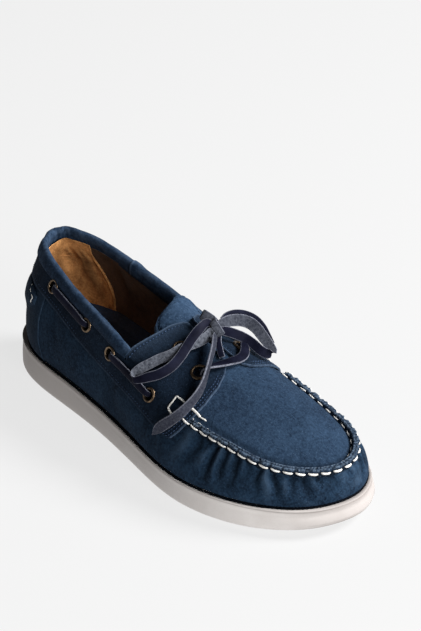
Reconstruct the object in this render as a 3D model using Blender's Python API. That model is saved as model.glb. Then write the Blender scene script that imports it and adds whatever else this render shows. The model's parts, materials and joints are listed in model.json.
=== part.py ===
"""Boat shoe for the right foot: one assembly of separate pieces.

Metres, +X to the toe, +Y to the inside of the foot, +Z up, standing on z = 0.
The tables below are in millimetres from the back of the heel.
"""
import math

import bmesh
import bpy
import numpy as np

for old in list(bpy.data.objects):
    bpy.data.objects.remove(old, do_unlink=True)

# driving dimensions, mm
LENGTH = 300.0
WALL = 2.2
GAP = 0.3
SPRING = 7.2
SPRING_FROM = 205.0
RIDGE = 2.4
RIDGE_HALF = 0.09
OVERLAY_FROM = 0.5
OVERLAY_TO = 1.75
ROLL_RADIUS = 3.9
COLLAR_V = 0.905
THROAT_W = 0.50
EYELET_OUTER = 5.5
EYELET_HOLE = 3.6
EYELET_HIGH = 1.1
LACE_WIDE = 6.4
LACE_THICK = 1.4
CORD_RADIUS = 1.5
INSOLE_THICK = 3.2
TONGUE_THICK = 3.0
ARCH_RAISE = 1.5
CENTRE_X = 150.0
CENTRE_Y = -0.2

# widest edge of the sole: lateral x, y and medial x, y; a row per section, heel to toe
SOLE_EDGE = [
    (0.0, 0.0, 0.0, 0.0),
    (10.5, -23.5, 9.9, 23.1),
    (35.0, -36.7, 35.0, 34.2),
    (75.0, -40.7, 75.0, 33.7),
    (120.0, -43.9, 120.0, 32.3),
    (165.0, -50.9, 165.0, 42.1),
    (205.0, -55.4, 205.0, 52.9),
    (240.0, -50.2, 240.0, 54.6),
    (270.0, -37.2, 274.0, 47.3),
    (292.0, -16.3, 294.0, 29.8),
    (300.0, 9.0, 300.0, 9.0),
]
# inset of the feather line, its height, swell of the wall, lean power, dome power
SECTIONS = [
    (2.0, 22.9, 0.0, 2.2, 2.0),
    (2.0, 22.6, 0.6, 2.2, 2.0),
    (2.2, 21.5, 2.0, 2.0, 2.0),
    (2.5, 20.0, 2.0, 1.8, 2.0),
    (2.6, 18.3, 1.0, 1.7, 2.1),
    (2.4, 17.1, 1.2, 1.7, 2.1),
    (2.1, 16.6, 1.8, 1.7, 1.9),
    (2.8, 17.2, 1.8, 1.7, 1.7),
    (4.0, 18.2, 1.5, 1.7, 1.5),
    (5.2, 19.0, 1.5, 1.7, 1.4),
    (6.0, 19.3, 1.5, 1.7, 1.4),
]
# collar line, then the seam round the plug: lateral x, y, z and medial x, y, z
TOP_LINE = [
    (10.5, 3.0, 84.0, 10.5, 3.0, 84.0),
    (18.0, -11.5, 84.8, 13.0, 15.5, 84.3),
    (36.0, -19.5, 84.2, 34.0, 22.0, 83.0),
    (75.0, -27.0, 78.8, 75.0, 27.5, 75.8),
    (120.0, -32.5, 71.2, 120.0, 30.5, 67.5),
    (165.0, -38.5, 58.5, 165.0, 36.5, 58.0),
    (204.0, -41.5, 49.5, 204.0, 43.5, 48.5),
    (236.0, -37.0, 45.0, 237.0, 43.0, 44.0),
    (263.0, -27.5, 40.0, 264.0, 37.5, 41.5),
    (282.0, -10.0, 38.0, 281.0, 27.0, 39.5),
    (288.5, 10.0, 38.0, 288.5, 10.0, 38.0),
]
# crest of the instep and plug: x, y, z
CREST = [
    (30.0, 0.0, 106.0),
    (40.0, 0.0, 106.0),
    (60.0, 1.0, 105.0),
    (98.0, 3.0, 98.0),
    (138.0, 5.5, 83.0),
    (176.0, 6.5, 71.0),
    (209.0, 7.0, 63.0),
    (232.0, 7.5, 57.5),
    (242.0, 8.0, 55.3),
    (246.0, 8.0, 54.4),
    (248.0, 8.0, 54.0),
]
STATIONS = [0.0, 0.04, 0.086, 0.13, 0.176, 0.23, 0.284, 0.34, 0.39, 0.45, 0.50, 0.53,
            0.56, 0.59, 0.615, 0.645, 0.675, 0.71, 0.74, 0.77, 0.80, 0.83, 0.86,
            0.89, 0.92, 0.96, 1.0]
WALL_ROWS = [0.0, 0.15, 0.35, 0.55, 0.75, 0.87, COLLAR_V, 1.0]
PLUG_ROWS = [1.045, 1.10, 1.25, 1.45, 1.65, 1.84, 2.0]
# saddle: station, lower edge of the collar band and of the wing below it
BAND = [
    (0.04, 0.72),
    (0.086, 0.72),
    (0.13, 0.715),
    (0.176, 0.71),
    (0.23, 0.68),
    (0.284, 0.625),
    (0.34, 0.555),
    (0.39, 0.508),
    (0.45, 0.49),
    (0.50, 0.505),
    (0.53, 0.51),
]
WING_FROM = 0.45
WING_TOP = 1.90
# front edge of each wing: height up the form, lateral station, medial station
WING_FRONT = [
    (0.50, 0.565, 0.555),
    (0.60, 0.590, 0.575),
    (0.78, 0.612, 0.592),
    (0.96, 0.622, 0.600),
    (1.00, 0.623, 0.601),
    (1.045, 0.624, 0.602),
    (1.10, 0.624, 0.603),
    (1.25, 0.622, 0.603),
    (1.45, 0.614, 0.602),
    (1.65, 0.600, 0.600),
    (1.80, 0.583, 0.594),
    (1.90, 0.566, 0.582),
]
# tongue: x, y, z of the middle, half width, how far the sides hang
TONGUE = [
    (190.0, 7.0, 63.0, 15.0, 3.5),
    (178.0, 7.0, 66.9, 17.0, 5.0),
    (165.0, 7.0, 70.7, 18.5, 7.5),
    (153.0, 7.0, 74.6, 19.0, 10.0),
    (143.0, 7.5, 78.8, 19.0, 11.5),
    (134.0, 9.0, 83.0, 20.0, 11.0),
    (128.5, 10.5, 85.4, 14.0, 6.0),
]
# eyelets: name, station, height up the form
EYELETS = [
    ("eyelet_lateral_1", 0.232, 0.835),
    ("eyelet_lateral_2", 0.340, 0.815),
    ("eyelet_lateral_3", 0.412, 0.800),
    ("eyelet_lateral_4", 0.526, 0.870),
    ("eyelet_lateral_5", 0.558, 1.520),
    ("eyelet_lateral_6", 0.497, 1.590),
    ("eyelet_medial_1", 0.232, 0.835),
    ("eyelet_medial_2", 0.340, 0.815),
    ("eyelet_medial_3", 0.412, 0.800),
    ("eyelet_medial_4", 0.515, 0.870),
    ("eyelet_medial_5", 0.542, 1.476),
    ("eyelet_medial_6", 0.482, 1.570),
]


def station_values():
    """Section positions, 0 at the heel tip and 1 at the toe tip."""
    edge = np.array(SOLE_EDGE)
    step_a = np.linalg.norm(np.diff(edge[:, :2], axis=0), axis=1)
    step_b = np.linalg.norm(np.diff(edge[:, 2:], axis=0), axis=1)
    run = np.cumsum(np.sqrt(step_a) + np.sqrt(step_b))
    return np.concatenate([[0.0], run / run[-1]])


KNOTS = station_values()


class Loop:
    """Smooth closed curve: 0..1 down the lateral side, 1..2 back up the medial side."""

    def __init__(self, lateral, medial):
        lateral = np.asarray(lateral, float)
        medial = np.asarray(medial, float)
        self.knots = np.concatenate([KNOTS, 2.0 - KNOTS[-2:0:-1]])
        self.values = np.vstack([lateral, medial[-2:0:-1]])
        count = len(self.knots)
        self.gaps = np.diff(np.append(self.knots, self.knots[0] + 2.0))
        rise = np.roll(self.values, -1, 0) - self.values
        matrix = np.zeros((count, count))
        right = np.zeros_like(self.values)
        for i in range(count):
            before, after = self.gaps[i - 1], self.gaps[i]
            matrix[i, i - 1] += before
            matrix[i, i] += 2.0 * (before + after)
            matrix[i, (i + 1) % count] += after
            right[i] = 6.0 * (rise[i] / after - rise[i - 1] / before)
        self.bend = np.linalg.solve(matrix, right)

    def at(self, t):
        t = np.mod(np.asarray(t, float), 2.0)
        i = np.clip(np.searchsorted(self.knots, t, side="right") - 1, 0, len(self.knots) - 1)
        j = (i + 1) % len(self.knots)
        gap = self.gaps[i]
        b = (t - self.knots[i]) / gap
        a = 1.0 - b
        curve = a[..., None] * self.values[i] + b[..., None] * self.values[j]
        curve = curve + ((a ** 3 - a) * gap * gap / 6.0)[..., None] * self.bend[i]
        return curve + ((b ** 3 - b) * gap * gap / 6.0)[..., None] * self.bend[j]


edge_rows = np.array(SOLE_EDGE)
top_rows = np.array(TOP_LINE)
section_rows = np.array(SECTIONS)
edge_loop = Loop(edge_rows[:, :2], edge_rows[:, 2:])
top_loop = Loop(top_rows[:, :3], top_rows[:, 3:])
section_loop = Loop(section_rows, section_rows)
crest_loop = Loop(CREST, CREST)


def outward(t):
    """Unit plan vector pointing out of the sole at ring position t."""
    step = edge_loop.at(np.asarray(t) + 1e-4) - edge_loop.at(np.asarray(t) - 1e-4)
    step = step / np.linalg.norm(step, axis=-1)[..., None]
    return np.stack([step[..., 1], -step[..., 0]], -1) * OUT_SIGN


OUT_SIGN = 1.0
if outward(np.array([0.5]))[0, 1] > 0.0:
    OUT_SIGN = -1.0


def edge_point(t, out):
    return edge_loop.at(t) + outward(t) * np.asarray(out, float)[..., None]


def form(t, v):
    """Outer face of the upper: v 0 feather line, 1 collar or seam, 2 crest."""
    t, v = np.broadcast_arrays(np.asarray(t, float), np.asarray(v, float))
    section = section_loop.at(t)
    inset, high, swell = section[..., 0], section[..., 1], section[..., 2]
    lean, dome = section[..., 3], section[..., 4]
    foot = edge_point(t, -inset)
    top = top_loop.at(t)
    crest = crest_loop.at(t)
    a = np.clip(v, 0.0, 1.0)
    plan = foot + (top[..., :2] - foot) * (a ** lean)[..., None]
    plan = plan + outward(t) * (swell * np.sin(math.pi * a ** 0.9))[..., None]
    rise = high + (top[..., 2] - high) * a
    q = np.clip(v - 1.0, 0.0, 1.0)
    over = top[..., :2] + (crest[..., :2] - top[..., :2]) * q[..., None]
    climb = (1.0 - (1.0 - q) ** dome) ** 0.9
    over_z = top[..., 2] + (crest[..., 2] - top[..., 2]) * climb
    wall = np.concatenate([plan, rise[..., None]], -1)
    plug = np.concatenate([over, over_z[..., None]], -1)
    return np.where((v < 1.0)[..., None], wall, plug)


def form_normal(t, v):
    t, v = np.broadcast_arrays(np.asarray(t, float), np.asarray(v, float))
    low = np.clip(v - 0.01, 0.0, 1.99)
    along = form(t + 0.004, v) - form(t - 0.004, v)
    up = form(t, np.minimum(low + 0.02, 2.0)) - form(t, low)
    n = np.cross(along, up)
    n = n / np.linalg.norm(n, axis=-1)[..., None]
    out = np.concatenate([outward(t), np.full(t.shape + (1,), 0.8)], -1)
    return n * np.sign((n * out).sum(-1))[..., None]


def lifted(t, v, height):
    return form(t, v) + form_normal(t, v) * np.asarray(height, float)[..., None]


def ring_position(station, medial):
    return 2.0 - station if medial else station


def to_metres(points):
    points = np.asarray(points, float) - np.array([CENTRE_X, CENTRE_Y, 0.0])
    return points * 0.001


def material(name, colour, rough, metal=0.0):
    made = bpy.data.materials.new(name)
    made.use_nodes = True
    shader = made.node_tree.nodes["Principled BSDF"]
    shader.inputs["Base Color"].default_value = colour + (1.0,)
    shader.inputs["Roughness"].default_value = rough
    shader.inputs["Metallic"].default_value = metal
    return made


def solid(name, points, faces, colour, rough=0.8, metal=0.0, smooth=True):
    mesh = bpy.data.meshes.new(name)
    mesh.from_pydata([tuple(p) for p in to_metres(points)], [], faces)
    shape = bmesh.new()
    shape.from_mesh(mesh)
    bmesh.ops.remove_doubles(shape, verts=shape.verts, dist=0.00001)
    bmesh.ops.recalc_face_normals(shape, faces=shape.faces)
    shape.to_mesh(mesh)
    shape.free()
    for face in mesh.polygons:
        face.use_smooth = smooth
    made = bpy.data.objects.new(name, mesh)
    bpy.context.scene.collection.objects.link(made)
    mesh.materials.append(material(name, colour, rough, metal))
    return made


def thick_sheet(outer, inner, cells):
    """Close a sheet of quads given its outer and inner points."""
    count = len(outer)
    faces = [tuple(c) for c in cells]
    faces += [tuple(i + count for i in reversed(c)) for c in cells]
    used = {}
    for cell in cells:
        for a, b in zip(cell, cell[1:] + cell[:1]):
            used[(a, b)] = True
    for a, b in used:
        if (b, a) not in used:
            faces.append((b, a, a + count, b + count))
    return np.vstack([outer, inner]), faces


def tube(path, side, half_wide, half_thick, corners=8):
    """Closed flat tube along a short path; side is the width direction per point."""
    path = np.asarray(path, float)
    half_wide = np.broadcast_to(half_wide, len(path))
    side = np.asarray(side, float)
    ahead = np.gradient(path, axis=0)
    ahead = ahead / np.linalg.norm(ahead, axis=1)[:, None]
    side = side - ahead * (side * ahead).sum(1)[:, None]
    side = side / np.linalg.norm(side, axis=1)[:, None]
    up = np.cross(ahead, side)
    points = []
    for p, s, u, wide in zip(path, side, up, half_wide):
        for k in range(corners):
            angle = 2.0 * math.pi * (k + 0.5) / corners
            c, d = math.cos(angle), math.sin(angle)
            points.append(p + s * wide * c + u * half_thick * d)
    faces = []
    for i in range(len(path) - 1):
        for k in range(corners):
            n = (k + 1) % corners
            faces.append((i * corners + k, i * corners + n,
                          (i + 1) * corners + n, (i + 1) * corners + k))
    faces.append(tuple(range(corners)))
    last = (len(path) - 1) * corners
    faces.append(tuple(last + k for k in reversed(range(corners))))
    return np.array(points), faces


def spring_at(x):
    run = np.clip((x - SPRING_FROM) / (LENGTH - SPRING_FROM), 0.0, 1.2)
    return SPRING * run ** 2


def arch_at(x):
    rise = np.clip((x - 98.0) / 14.0, 0.0, 1.0) * np.clip((152.0 - x) / 14.0, 0.0, 1.0)
    return ARCH_RAISE * rise * rise * (3.0 - 2.0 * rise)


ring = np.array(STATIONS + [2.0 - w for w in STATIONS[-2:0:-1]])
half = len(STATIONS)
total = len(ring)


def twin(i):
    """Index of the ring position across the shoe."""
    return (total - i) % total


# outsole: bottom, rounded edge, flared wall, groove and lip, top face
section = section_loop.at(ring)
inset, high = section[:, 0], section[:, 1]
edge_x = edge_loop.at(ring)[:, 0]
lift = spring_at(edge_x)
lip = -inset * 0.40
profile = [
    (0.0 * inset - 11.0, lift + 0.0 * high, True),
    (0.0 * inset - 3.6, lift + 0.0 * high, True),
    (0.0 * inset - 1.2, lift + 0.7, False),
    (0.0 * inset, lift + 3.2, False),
    (lip * 0.75, high - 5.6, False),
    (lip - 0.7, high - 4.6, False),
    (lip - 0.1, high - 3.8, False),
    (lip - 0.3, high - 1.1, False),
    (lip - 1.0, high - GAP, False),
    (-inset - 6.0, high - GAP, False),
]
rows = []
for out, z, flat in profile:
    spot = edge_point(ring, out)
    height = z
    if flat:
        height = spring_at(spot[:, 0]) + 0.0 * z
    rows.append(np.column_stack([spot, height]))
rows[0][:, 2] += arch_at(rows[0][:, 0])
points = np.vstack(rows)
faces = []
for r in range(len(rows) - 1):
    for i in range(total):
        n = (i + 1) % total
        faces.append((r * total + i, r * total + n, (r + 1) * total + n, (r + 1) * total + i))


def cap(points, faces, base, columns, height):
    """Fill a ring across the shoe with straight rows of points."""
    points = list(points)
    rungs = []
    for i in range(1, half - 1):
        a, b = points[base + i], points[base + twin(i)]
        rung = [base + i]
        for c in range(1, columns):
            spot = a + (b - a) * c / columns
            if height is not None:
                spot = np.array([spot[0], spot[1], height(spot[0])])
            points.append(spot)
            rung.append(len(points) - 1)
        rung.append(base + twin(i))
        rungs.append(rung)
    for a, b in zip(rungs, rungs[1:]):
        for c in range(columns):
            faces.append((a[c], b[c], b[c + 1], a[c + 1]))
    for tip, rung in ((base, rungs[0]), (base + half - 1, rungs[-1])):
        for c in range(columns):
            faces.append((tip, rung[c], rung[c + 1]))
    return np.array(points), faces


points, faces = cap(points, faces, 0, 3, lambda x: spring_at(x) + arch_at(x))
points, faces = cap(points, faces, (len(rows) - 1) * total, 2, None)
solid("outsole", points, faces, (0.78, 0.75, 0.70), 0.6)

# insole
rows = []
for out, z in ((1.2, 0.2), (0.6, 0.6), (0.6, INSOLE_THICK - 0.6), (1.4, INSOLE_THICK)):
    spot = edge_point(ring, -inset - WALL - out)
    rows.append(np.column_stack([spot, high + z]))
points = np.vstack(rows)
faces = []
for r in range(3):
    for i in range(total):
        n = (i + 1) % total
        faces.append((r * total + i, r * total + n, (r + 1) * total + n, (r + 1) * total + i))
points, faces = cap(points, faces, 0, 2, None)
points, faces = cap(points, faces, 3 * total, 2, None)
solid("insole", points, faces, (0.03, 0.05, 0.11), 0.9)

# upper: walls, plug and the raised seam between them as one hollow shell
values = np.array(WALL_ROWS + PLUG_ROWS)
wall_count = len(WALL_ROWS)
index = {}
base_points = []
spots = []
for i, t in enumerate(ring):
    w = t if t <= 1.0 else 2.0 - t
    for j, v in enumerate(values):
        if w < THROAT_W - 1e-6 and v > COLLAR_V + 1e-6:
            continue
        if j == len(values) - 1 and (twin(i), j) in index:
            index[(i, j)] = index[(twin(i), j)]
            continue
        index[(i, j)] = len(base_points)
        base_points.append(form(t, v))
        spots.append((w, v))
base_points = np.array(base_points)
cells = []
for i in range(total):
    n = (i + 1) % total
    for j in range(len(values) - 1):
        corner = [(i, j), (n, j), (n, j + 1), (i, j + 1)]
        if all(c in index for c in corner):
            quad = []
            for c in corner:
                if index[c] not in quad:
                    quad.append(index[c])
            if len(quad) > 2:
                cells.append(tuple(quad))
normal = np.zeros_like(base_points)
for cell in cells:
    a, b, c = base_points[cell[0]], base_points[cell[1]], base_points[cell[-2]]
    d = base_points[cell[-1]]
    face_normal = np.cross(c - a, d - b) if len(cell) == 4 else np.cross(b - a, c - a)
    for k in cell:
        normal[k] += face_normal
normal /= np.linalg.norm(normal, axis=1)[:, None]
if normal[index[(half // 2, 2)], 1] > 0.0:
    normal = -normal
raised = base_points.copy()
for k, (w, v) in enumerate(spots):
    near = max(0.0, 1.0 - abs(v - 1.01) / RIDGE_HALF)
    fade = min(1.0, max(0.0, (w - 0.632) / 0.03))
    raised[k] += normal[k] * RIDGE * fade * near * near * (3.0 - 2.0 * near)
hollow = base_points - normal * WALL
for k, (w, v) in enumerate(spots):
    if v == 0.0:
        hollow[k, 2] = base_points[k, 2]
points, faces = thick_sheet(raised, hollow, cells)
solid("upper", points, faces, (0.045, 0.085, 0.19), 0.95)

# tongue
outer, inner = [], []
across = 6
for x, y, z, wide, hang in TONGUE:
    for c in range(across + 1):
        s = 2.0 * c / across - 1.0
        drop = hang * abs(s) ** 1.8
        tilt = 2.2 * hang * s * abs(s) ** 0.8 / wide
        centre = np.array([x, y + wide * s, z - drop])
        up = np.array([0.30, tilt, 1.0])
        up /= np.linalg.norm(up)
        outer.append(centre)
        inner.append(centre - up * TONGUE_THICK)
cells = []
for r in range(len(TONGUE) - 1):
    for c in range(across):
        k = r * (across + 1) + c
        cells.append((k, k + 1, k + across + 2, k + across + 1))
points, faces = thick_sheet(np.array(outer), np.array(inner), cells)
solid("tongue", points, faces, (0.06, 0.11, 0.23), 0.95)


def saddle(name, medial):
    """Band under the collar that widens into a wing over the instep."""
    front = np.array(WING_FRONT)
    reach = front[:, 2 if medial else 1]
    top = 0.90
    low_part = [0.0, 0.33, 0.66, 1.0]
    high_part = [0.96, 1.0, 1.045, 1.10, 1.25, 1.45, 1.65, 1.80, WING_TOP]
    spots, cells = [], []
    for w, low in BAND:
        line = [(w, low + (top - low) * f) for f in low_part]
        if w >= WING_FROM:
            line += [(w, v) for v in high_part]
        spots.append(line)
    back = BAND[-1][0]
    for f, low in ((0.4, 0.505), (0.75, 0.52), (1.0, 0.60)):
        line = [low + (top - low) * g for g in low_part] + high_part
        spots.append([(back + (float(np.interp(v, front[:, 0], reach)) - back) * f, v)
                      for v in line])
    start = np.cumsum([0] + [len(line) for line in spots])
    for row in range(len(spots) - 1):
        for c in range(min(len(spots[row]), len(spots[row + 1])) - 1):
            a, b = start[row] + c, start[row + 1] + c
            cells.append((int(a), int(b), int(b + 1), int(a + 1)))
    flat = [spot for line in spots for spot in line]
    t = np.array([ring_position(w, medial) for w, v in flat])
    v = np.array([v for w, v in flat])
    outer = lifted(t, v, np.full(len(t), OVERLAY_TO))
    inner = lifted(t, v, np.full(len(t), OVERLAY_FROM))
    points, faces = thick_sheet(outer, inner, cells)
    solid(name, points, faces, (0.04, 0.075, 0.17), 0.95)


saddle("saddle_lateral", False)
saddle("saddle_medial", True)

# heel tab down the back seam
outer, inner = [], []
tab_t = [-0.034, -0.02, 0.0, 0.02, 0.034]
tab_v = [0.30, 0.40, 0.55, 0.70, 0.80, 0.90]
for v in tab_v:
    narrow = 0.75 + 0.25 * math.sin(math.pi * min(1.0, (v - 0.30) / 0.4) * 0.5)
    for t in tab_t:
        outer.append(lifted(t * narrow, v, 1.9))
        inner.append(lifted(t * narrow, v, 0.5))
cells = []
for r in range(len(tab_v) - 1):
    for c in range(len(tab_t) - 1):
        k = r * len(tab_t) + c
        cells.append((k, k + 1, k + len(tab_t) + 1, k + len(tab_t)))
points, faces = thick_sheet(np.array(outer), np.array(inner), cells)
solid("heel_tab", points, faces, (0.045, 0.085, 0.19), 0.95)

# rolled binding along the collar
collar = [w for w in STATIONS if w < 0.40] + [0.432]
roll_t = np.array([2.0 - w for w in reversed(collar)] + [2.0 + w for w in collar[1:]])
path = top_loop.at(roll_t)
side = np.concatenate([outward(roll_t), np.zeros((len(roll_t), 1))], -1)
points, faces = tube(path, side, ROLL_RADIUS, ROLL_RADIUS, 10)
solid("collar_roll", points, faces, (0.09, 0.16, 0.31), 0.95)


def surface_frame(t, v, height):
    spot = lifted(t, v, height)
    up = form_normal(t, v)
    along = form(t + 0.004, v) - form(t - 0.004, v)
    along = along - up * (along @ up)
    along = along / np.linalg.norm(along)
    return spot, along, np.cross(up, along), up


# metal eyelets
for name, w, v in EYELETS:
    t = ring_position(w, "medial" in name)
    base = OVERLAY_TO + 0.6
    spot, along, across_dir, up = surface_frame(t, v, base)
    shape = [(EYELET_HOLE, 0.1), (EYELET_OUTER, 0.0), (EYELET_OUTER - 0.1, 0.6),
             (EYELET_HOLE + 0.9, EYELET_HIGH), (EYELET_HOLE + 0.1, 0.7)]
    points, faces = [], []
    turns = 16
    for k in range(turns):
        angle = 2.0 * math.pi * k / turns
        ray = along * math.cos(angle) + across_dir * math.sin(angle)
        for r, z in shape:
            points.append(spot + ray * r + up * z)
        for c in range(5):
            n = (c + 1) % 5
            m = (k + 1) % turns
            faces.append((k * 5 + c, k * 5 + n, m * 5 + n, m * 5 + c))
    solid(name, np.array(points), faces, (0.42, 0.30, 0.15), 0.35, 1.0)


def narrow_ends(count):
    """Share of the lace's width at each point: it folds in where it enters an eyelet."""
    width = np.ones(count)
    width[[0, -1]] = 0.5
    width[[1, -2]] = 0.75
    return width


def side_bar(name, first, second, medial):
    """Flat lace lying outside the band between two eyelets."""
    over = OVERLAY_TO + 3.1
    dip = OVERLAY_TO + 1.5
    spread = np.array([0.0, 0.06, 0.16, 0.3, 0.5, 0.7, 0.84, 0.94, 1.0])
    height = np.array([dip, over - 0.4, over, over, over, over, over, over - 0.4, dip])
    w = first[0] + (second[0] - first[0]) * spread
    v = first[1] + (second[1] - first[1]) * spread
    t = 2.0 - w if medial else w
    path = lifted(t, v, height)
    side = np.cross(np.gradient(path, axis=0), form_normal(t, v))
    points, faces = tube(path, side, LACE_WIDE / 2.0 * narrow_ends(len(path)), LACE_THICK / 2.0)
    solid(name, points, faces, (0.035, 0.045, 0.08), 0.7)


places = {name: (w, v) for name, w, v in EYELETS}
for flank in ("lateral", "medial"):
    hole = [places["eyelet_%s_%d" % (flank, k)] for k in (1, 2, 3, 4)]
    side_bar("lace_side_%s_rear" % flank, hole[0], hole[1], flank == "medial")
    side_bar("lace_side_%s_front" % flank, hole[2], hole[3], flank == "medial")


def smooth_path(points, spacing):
    """Even points on a smooth curve through the given ones."""
    points = np.asarray(points, float)
    gaps = np.linalg.norm(np.diff(points, axis=0), axis=1)
    knots = np.concatenate([[0.0], np.cumsum(np.sqrt(gaps))])
    slope = np.gradient(points, knots, axis=0)
    fine = []
    for i in range(len(points) - 1):
        step = knots[i + 1] - knots[i]
        for u in np.linspace(0.0, 1.0, 12, endpoint=False):
            fine.append((2 * u ** 3 - 3 * u ** 2 + 1) * points[i]
                        + (u ** 3 - 2 * u ** 2 + u) * step * slope[i]
                        + (3 * u ** 2 - 2 * u ** 3) * points[i + 1]
                        + (u ** 3 - u ** 2) * step * slope[i + 1])
    fine.append(points[-1])
    fine = np.array(fine)
    run = np.concatenate([[0.0], np.cumsum(np.linalg.norm(np.diff(fine, axis=0), axis=1))])
    count = max(3, int(round(run[-1] / spacing)) + 1)
    want = np.linspace(0.0, run[-1], count)
    return np.column_stack([np.interp(want, run, fine[:, k]) for k in range(3)])


def cord(name, points, radius, spacing):
    """Plain round cord solid along a hand-laid route."""
    curve = bpy.data.curves.new(name, "CURVE")
    curve.dimensions = "3D"
    curve.bevel_depth = radius * 0.001
    curve.bevel_resolution = 2
    curve.use_fill_caps = True
    route = to_metres(smooth_path(points, spacing))
    spline = curve.splines.new("POLY")
    spline.points.add(len(route) - 1)
    for point, spot in zip(spline.points, route):
        point.co = (spot[0], spot[1], spot[2], 1.0)
    made = bpy.data.objects.new(name, curve)
    bpy.context.scene.collection.objects.link(made)
    curve.materials.append(material(name, (0.035, 0.045, 0.08), 0.7))


# front bar: out of the inner front eyelet, across the instep, into the outer one
front_bar = [
    (180.4, 24.2, 68.9),
    (183.8, 22.0, 70.6),
    (188.2, 19.0, 71.0),
    (193.0, 14.9, 70.6),
    (194.8, 8.8, 70.6),
    (193.2, 2.6, 70.8),
    (191.6, -3.5, 70.7),
    (189.9, -9.2, 70.7),
    (188.0, -13.0, 70.8),
    (186.0, -16.3, 69.5),
]
path = smooth_path(front_bar, 4.0)
side = np.column_stack([np.ones(len(path)), np.linspace(1.6, -0.9, len(path)),
                        np.linspace(-0.8, 0.4, len(path))])
points, faces = tube(path, side, LACE_WIDE / 2.0 * narrow_ends(len(path)), LACE_THICK / 2.0)
solid("lace_bar_front", points, faces, (0.035, 0.045, 0.08), 0.7)

# bow: knot, two loops, two ends and the strand from the inner top eyelet
CORDS = {
    "lace_knot": (3.4, [(167.5, 11.5, 81.6), (172.0, 9.5, 82.2), (177.0, 7.0, 81.4)]),
    "lace_loop_lateral": (CORD_RADIUS, [
        (171.9, 4.9, 80.7), (172.5, 0.6, 79.2), (171.9, -4.2, 77.9), (169.9, -10.5, 76.6),
        (168.7, -17.1, 75.7), (166.3, -23.5, 72.8), (162.9, -28.3, 70.7), (160.0, -34.4, 67.9),
        (157.4, -39.6, 65.3), (155.9, -43.6, 62.1), (158.4, -45.7, 60.2), (161.9, -43.9, 60.9),
        (165.4, -40.8, 63.0), (170.6, -35.3, 66.0), (173.6, -28.0, 69.8), (173.4, -20.5, 74.2),
        (171.8, -13.7, 78.3), (170.2, -8.0, 81.4), (169.2, -3.1, 83.6), (168.0, 1.5, 85.0),
        (167.0, 5.6, 85.4)]),
    "lace_loop_medial": (CORD_RADIUS, [
        (171.2, 13.8, 84.8), (169.4, 20.0, 86.0), (169.8, 26.5, 85.6), (172.6, 32.4, 84.0),
        (177.2, 36.4, 81.4), (183.0, 36.6, 78.4), (188.8, 35.0, 74.8), (193.4, 34.4, 70.2),
        (196.0, 34.6, 66.6), (195.2, 31.6, 65.6), (191.3, 29.6, 68.4), (185.0, 28.6, 71.6),
        (179.6, 26.4, 74.2), (176.2, 21.0, 77.4), (175.0, 13.4, 80.2)]),
    "lace_end_long": (1.2, [
        (177.6, 3.0, 80.4), (182.0, -1.4, 78.1), (188.7, -9.1, 75.0), (194.5, -15.6, 71.8),
        (198.1, -20.5, 67.4), (200.5, -26.7, 63.4), (201.5, -33.0, 59.7), (201.0, -40.1, 55.6),
        (198.5, -45.4, 51.4), (193.2, -49.5, 45.8), (187.4, -52.8, 38.8)]),
    "lace_end_short": (1.2, [
        (174.8, 8.2, 76.8), (178.2, 5.9, 75.1), (181.7, 3.9, 73.4), (184.9, 2.2, 72.1),
        (187.4, 1.0, 71.4)]),
    "lace_strand_medial": (CORD_RADIUS, [
        (160.8, 20.0, 74.5), (158.7, 20.4, 78.4), (156.2, 18.8, 82.6), (156.4, 16.4, 85.4),
        (159.2, 14.4, 86.3), (162.7, 13.3, 84.9)]),
}
for name, (radius, points) in CORDS.items():
    cord(name, points, radius, min(6.0, radius * 2.0 * 2.4))
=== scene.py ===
import json
import math

import bpy
import numpy as np
from mathutils import Matrix, Vector, noise

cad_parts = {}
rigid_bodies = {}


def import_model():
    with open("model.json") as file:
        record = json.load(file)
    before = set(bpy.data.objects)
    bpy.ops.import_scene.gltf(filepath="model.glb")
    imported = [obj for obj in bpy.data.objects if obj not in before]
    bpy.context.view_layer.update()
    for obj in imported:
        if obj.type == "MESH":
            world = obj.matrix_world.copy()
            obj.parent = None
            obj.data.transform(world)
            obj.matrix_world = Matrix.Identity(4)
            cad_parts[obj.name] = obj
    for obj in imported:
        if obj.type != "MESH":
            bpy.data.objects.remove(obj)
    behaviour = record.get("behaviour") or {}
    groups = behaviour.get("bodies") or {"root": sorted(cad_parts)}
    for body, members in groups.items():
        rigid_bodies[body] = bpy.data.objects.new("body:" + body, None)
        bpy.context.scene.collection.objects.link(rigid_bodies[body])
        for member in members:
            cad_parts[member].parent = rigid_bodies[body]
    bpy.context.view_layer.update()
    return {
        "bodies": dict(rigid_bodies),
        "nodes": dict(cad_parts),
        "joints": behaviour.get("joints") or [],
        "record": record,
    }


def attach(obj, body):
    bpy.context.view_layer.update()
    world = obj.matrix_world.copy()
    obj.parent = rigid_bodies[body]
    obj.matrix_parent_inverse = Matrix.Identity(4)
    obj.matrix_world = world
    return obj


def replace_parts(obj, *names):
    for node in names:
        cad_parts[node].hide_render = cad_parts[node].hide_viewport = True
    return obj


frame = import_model()
print("frame loaded")

# boat shoe for the right foot: lengths in millimetres from the back of the heel, placed in metres
origin = np.array([150.0, -0.2, 0.0])
bandTop = 0.925
overlayTop = 1.75
wallThick = 2.0
ringLength = 330.0  # about the length of one unit of ring position
flatScale = np.array([400.0, 50.0])  # ring position and height up the form as lengths, for stitch lines


def toMetres(points):
    return (np.asarray(points, float) - origin) * 0.001


def linearColour(red, green, blue):
    parts = [c / 255.0 for c in (red, green, blue)]
    return tuple(c / 12.92 if c <= 0.04045 else ((c + 0.055) / 1.055) ** 2.4 for c in parts) + (1.0,)


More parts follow.
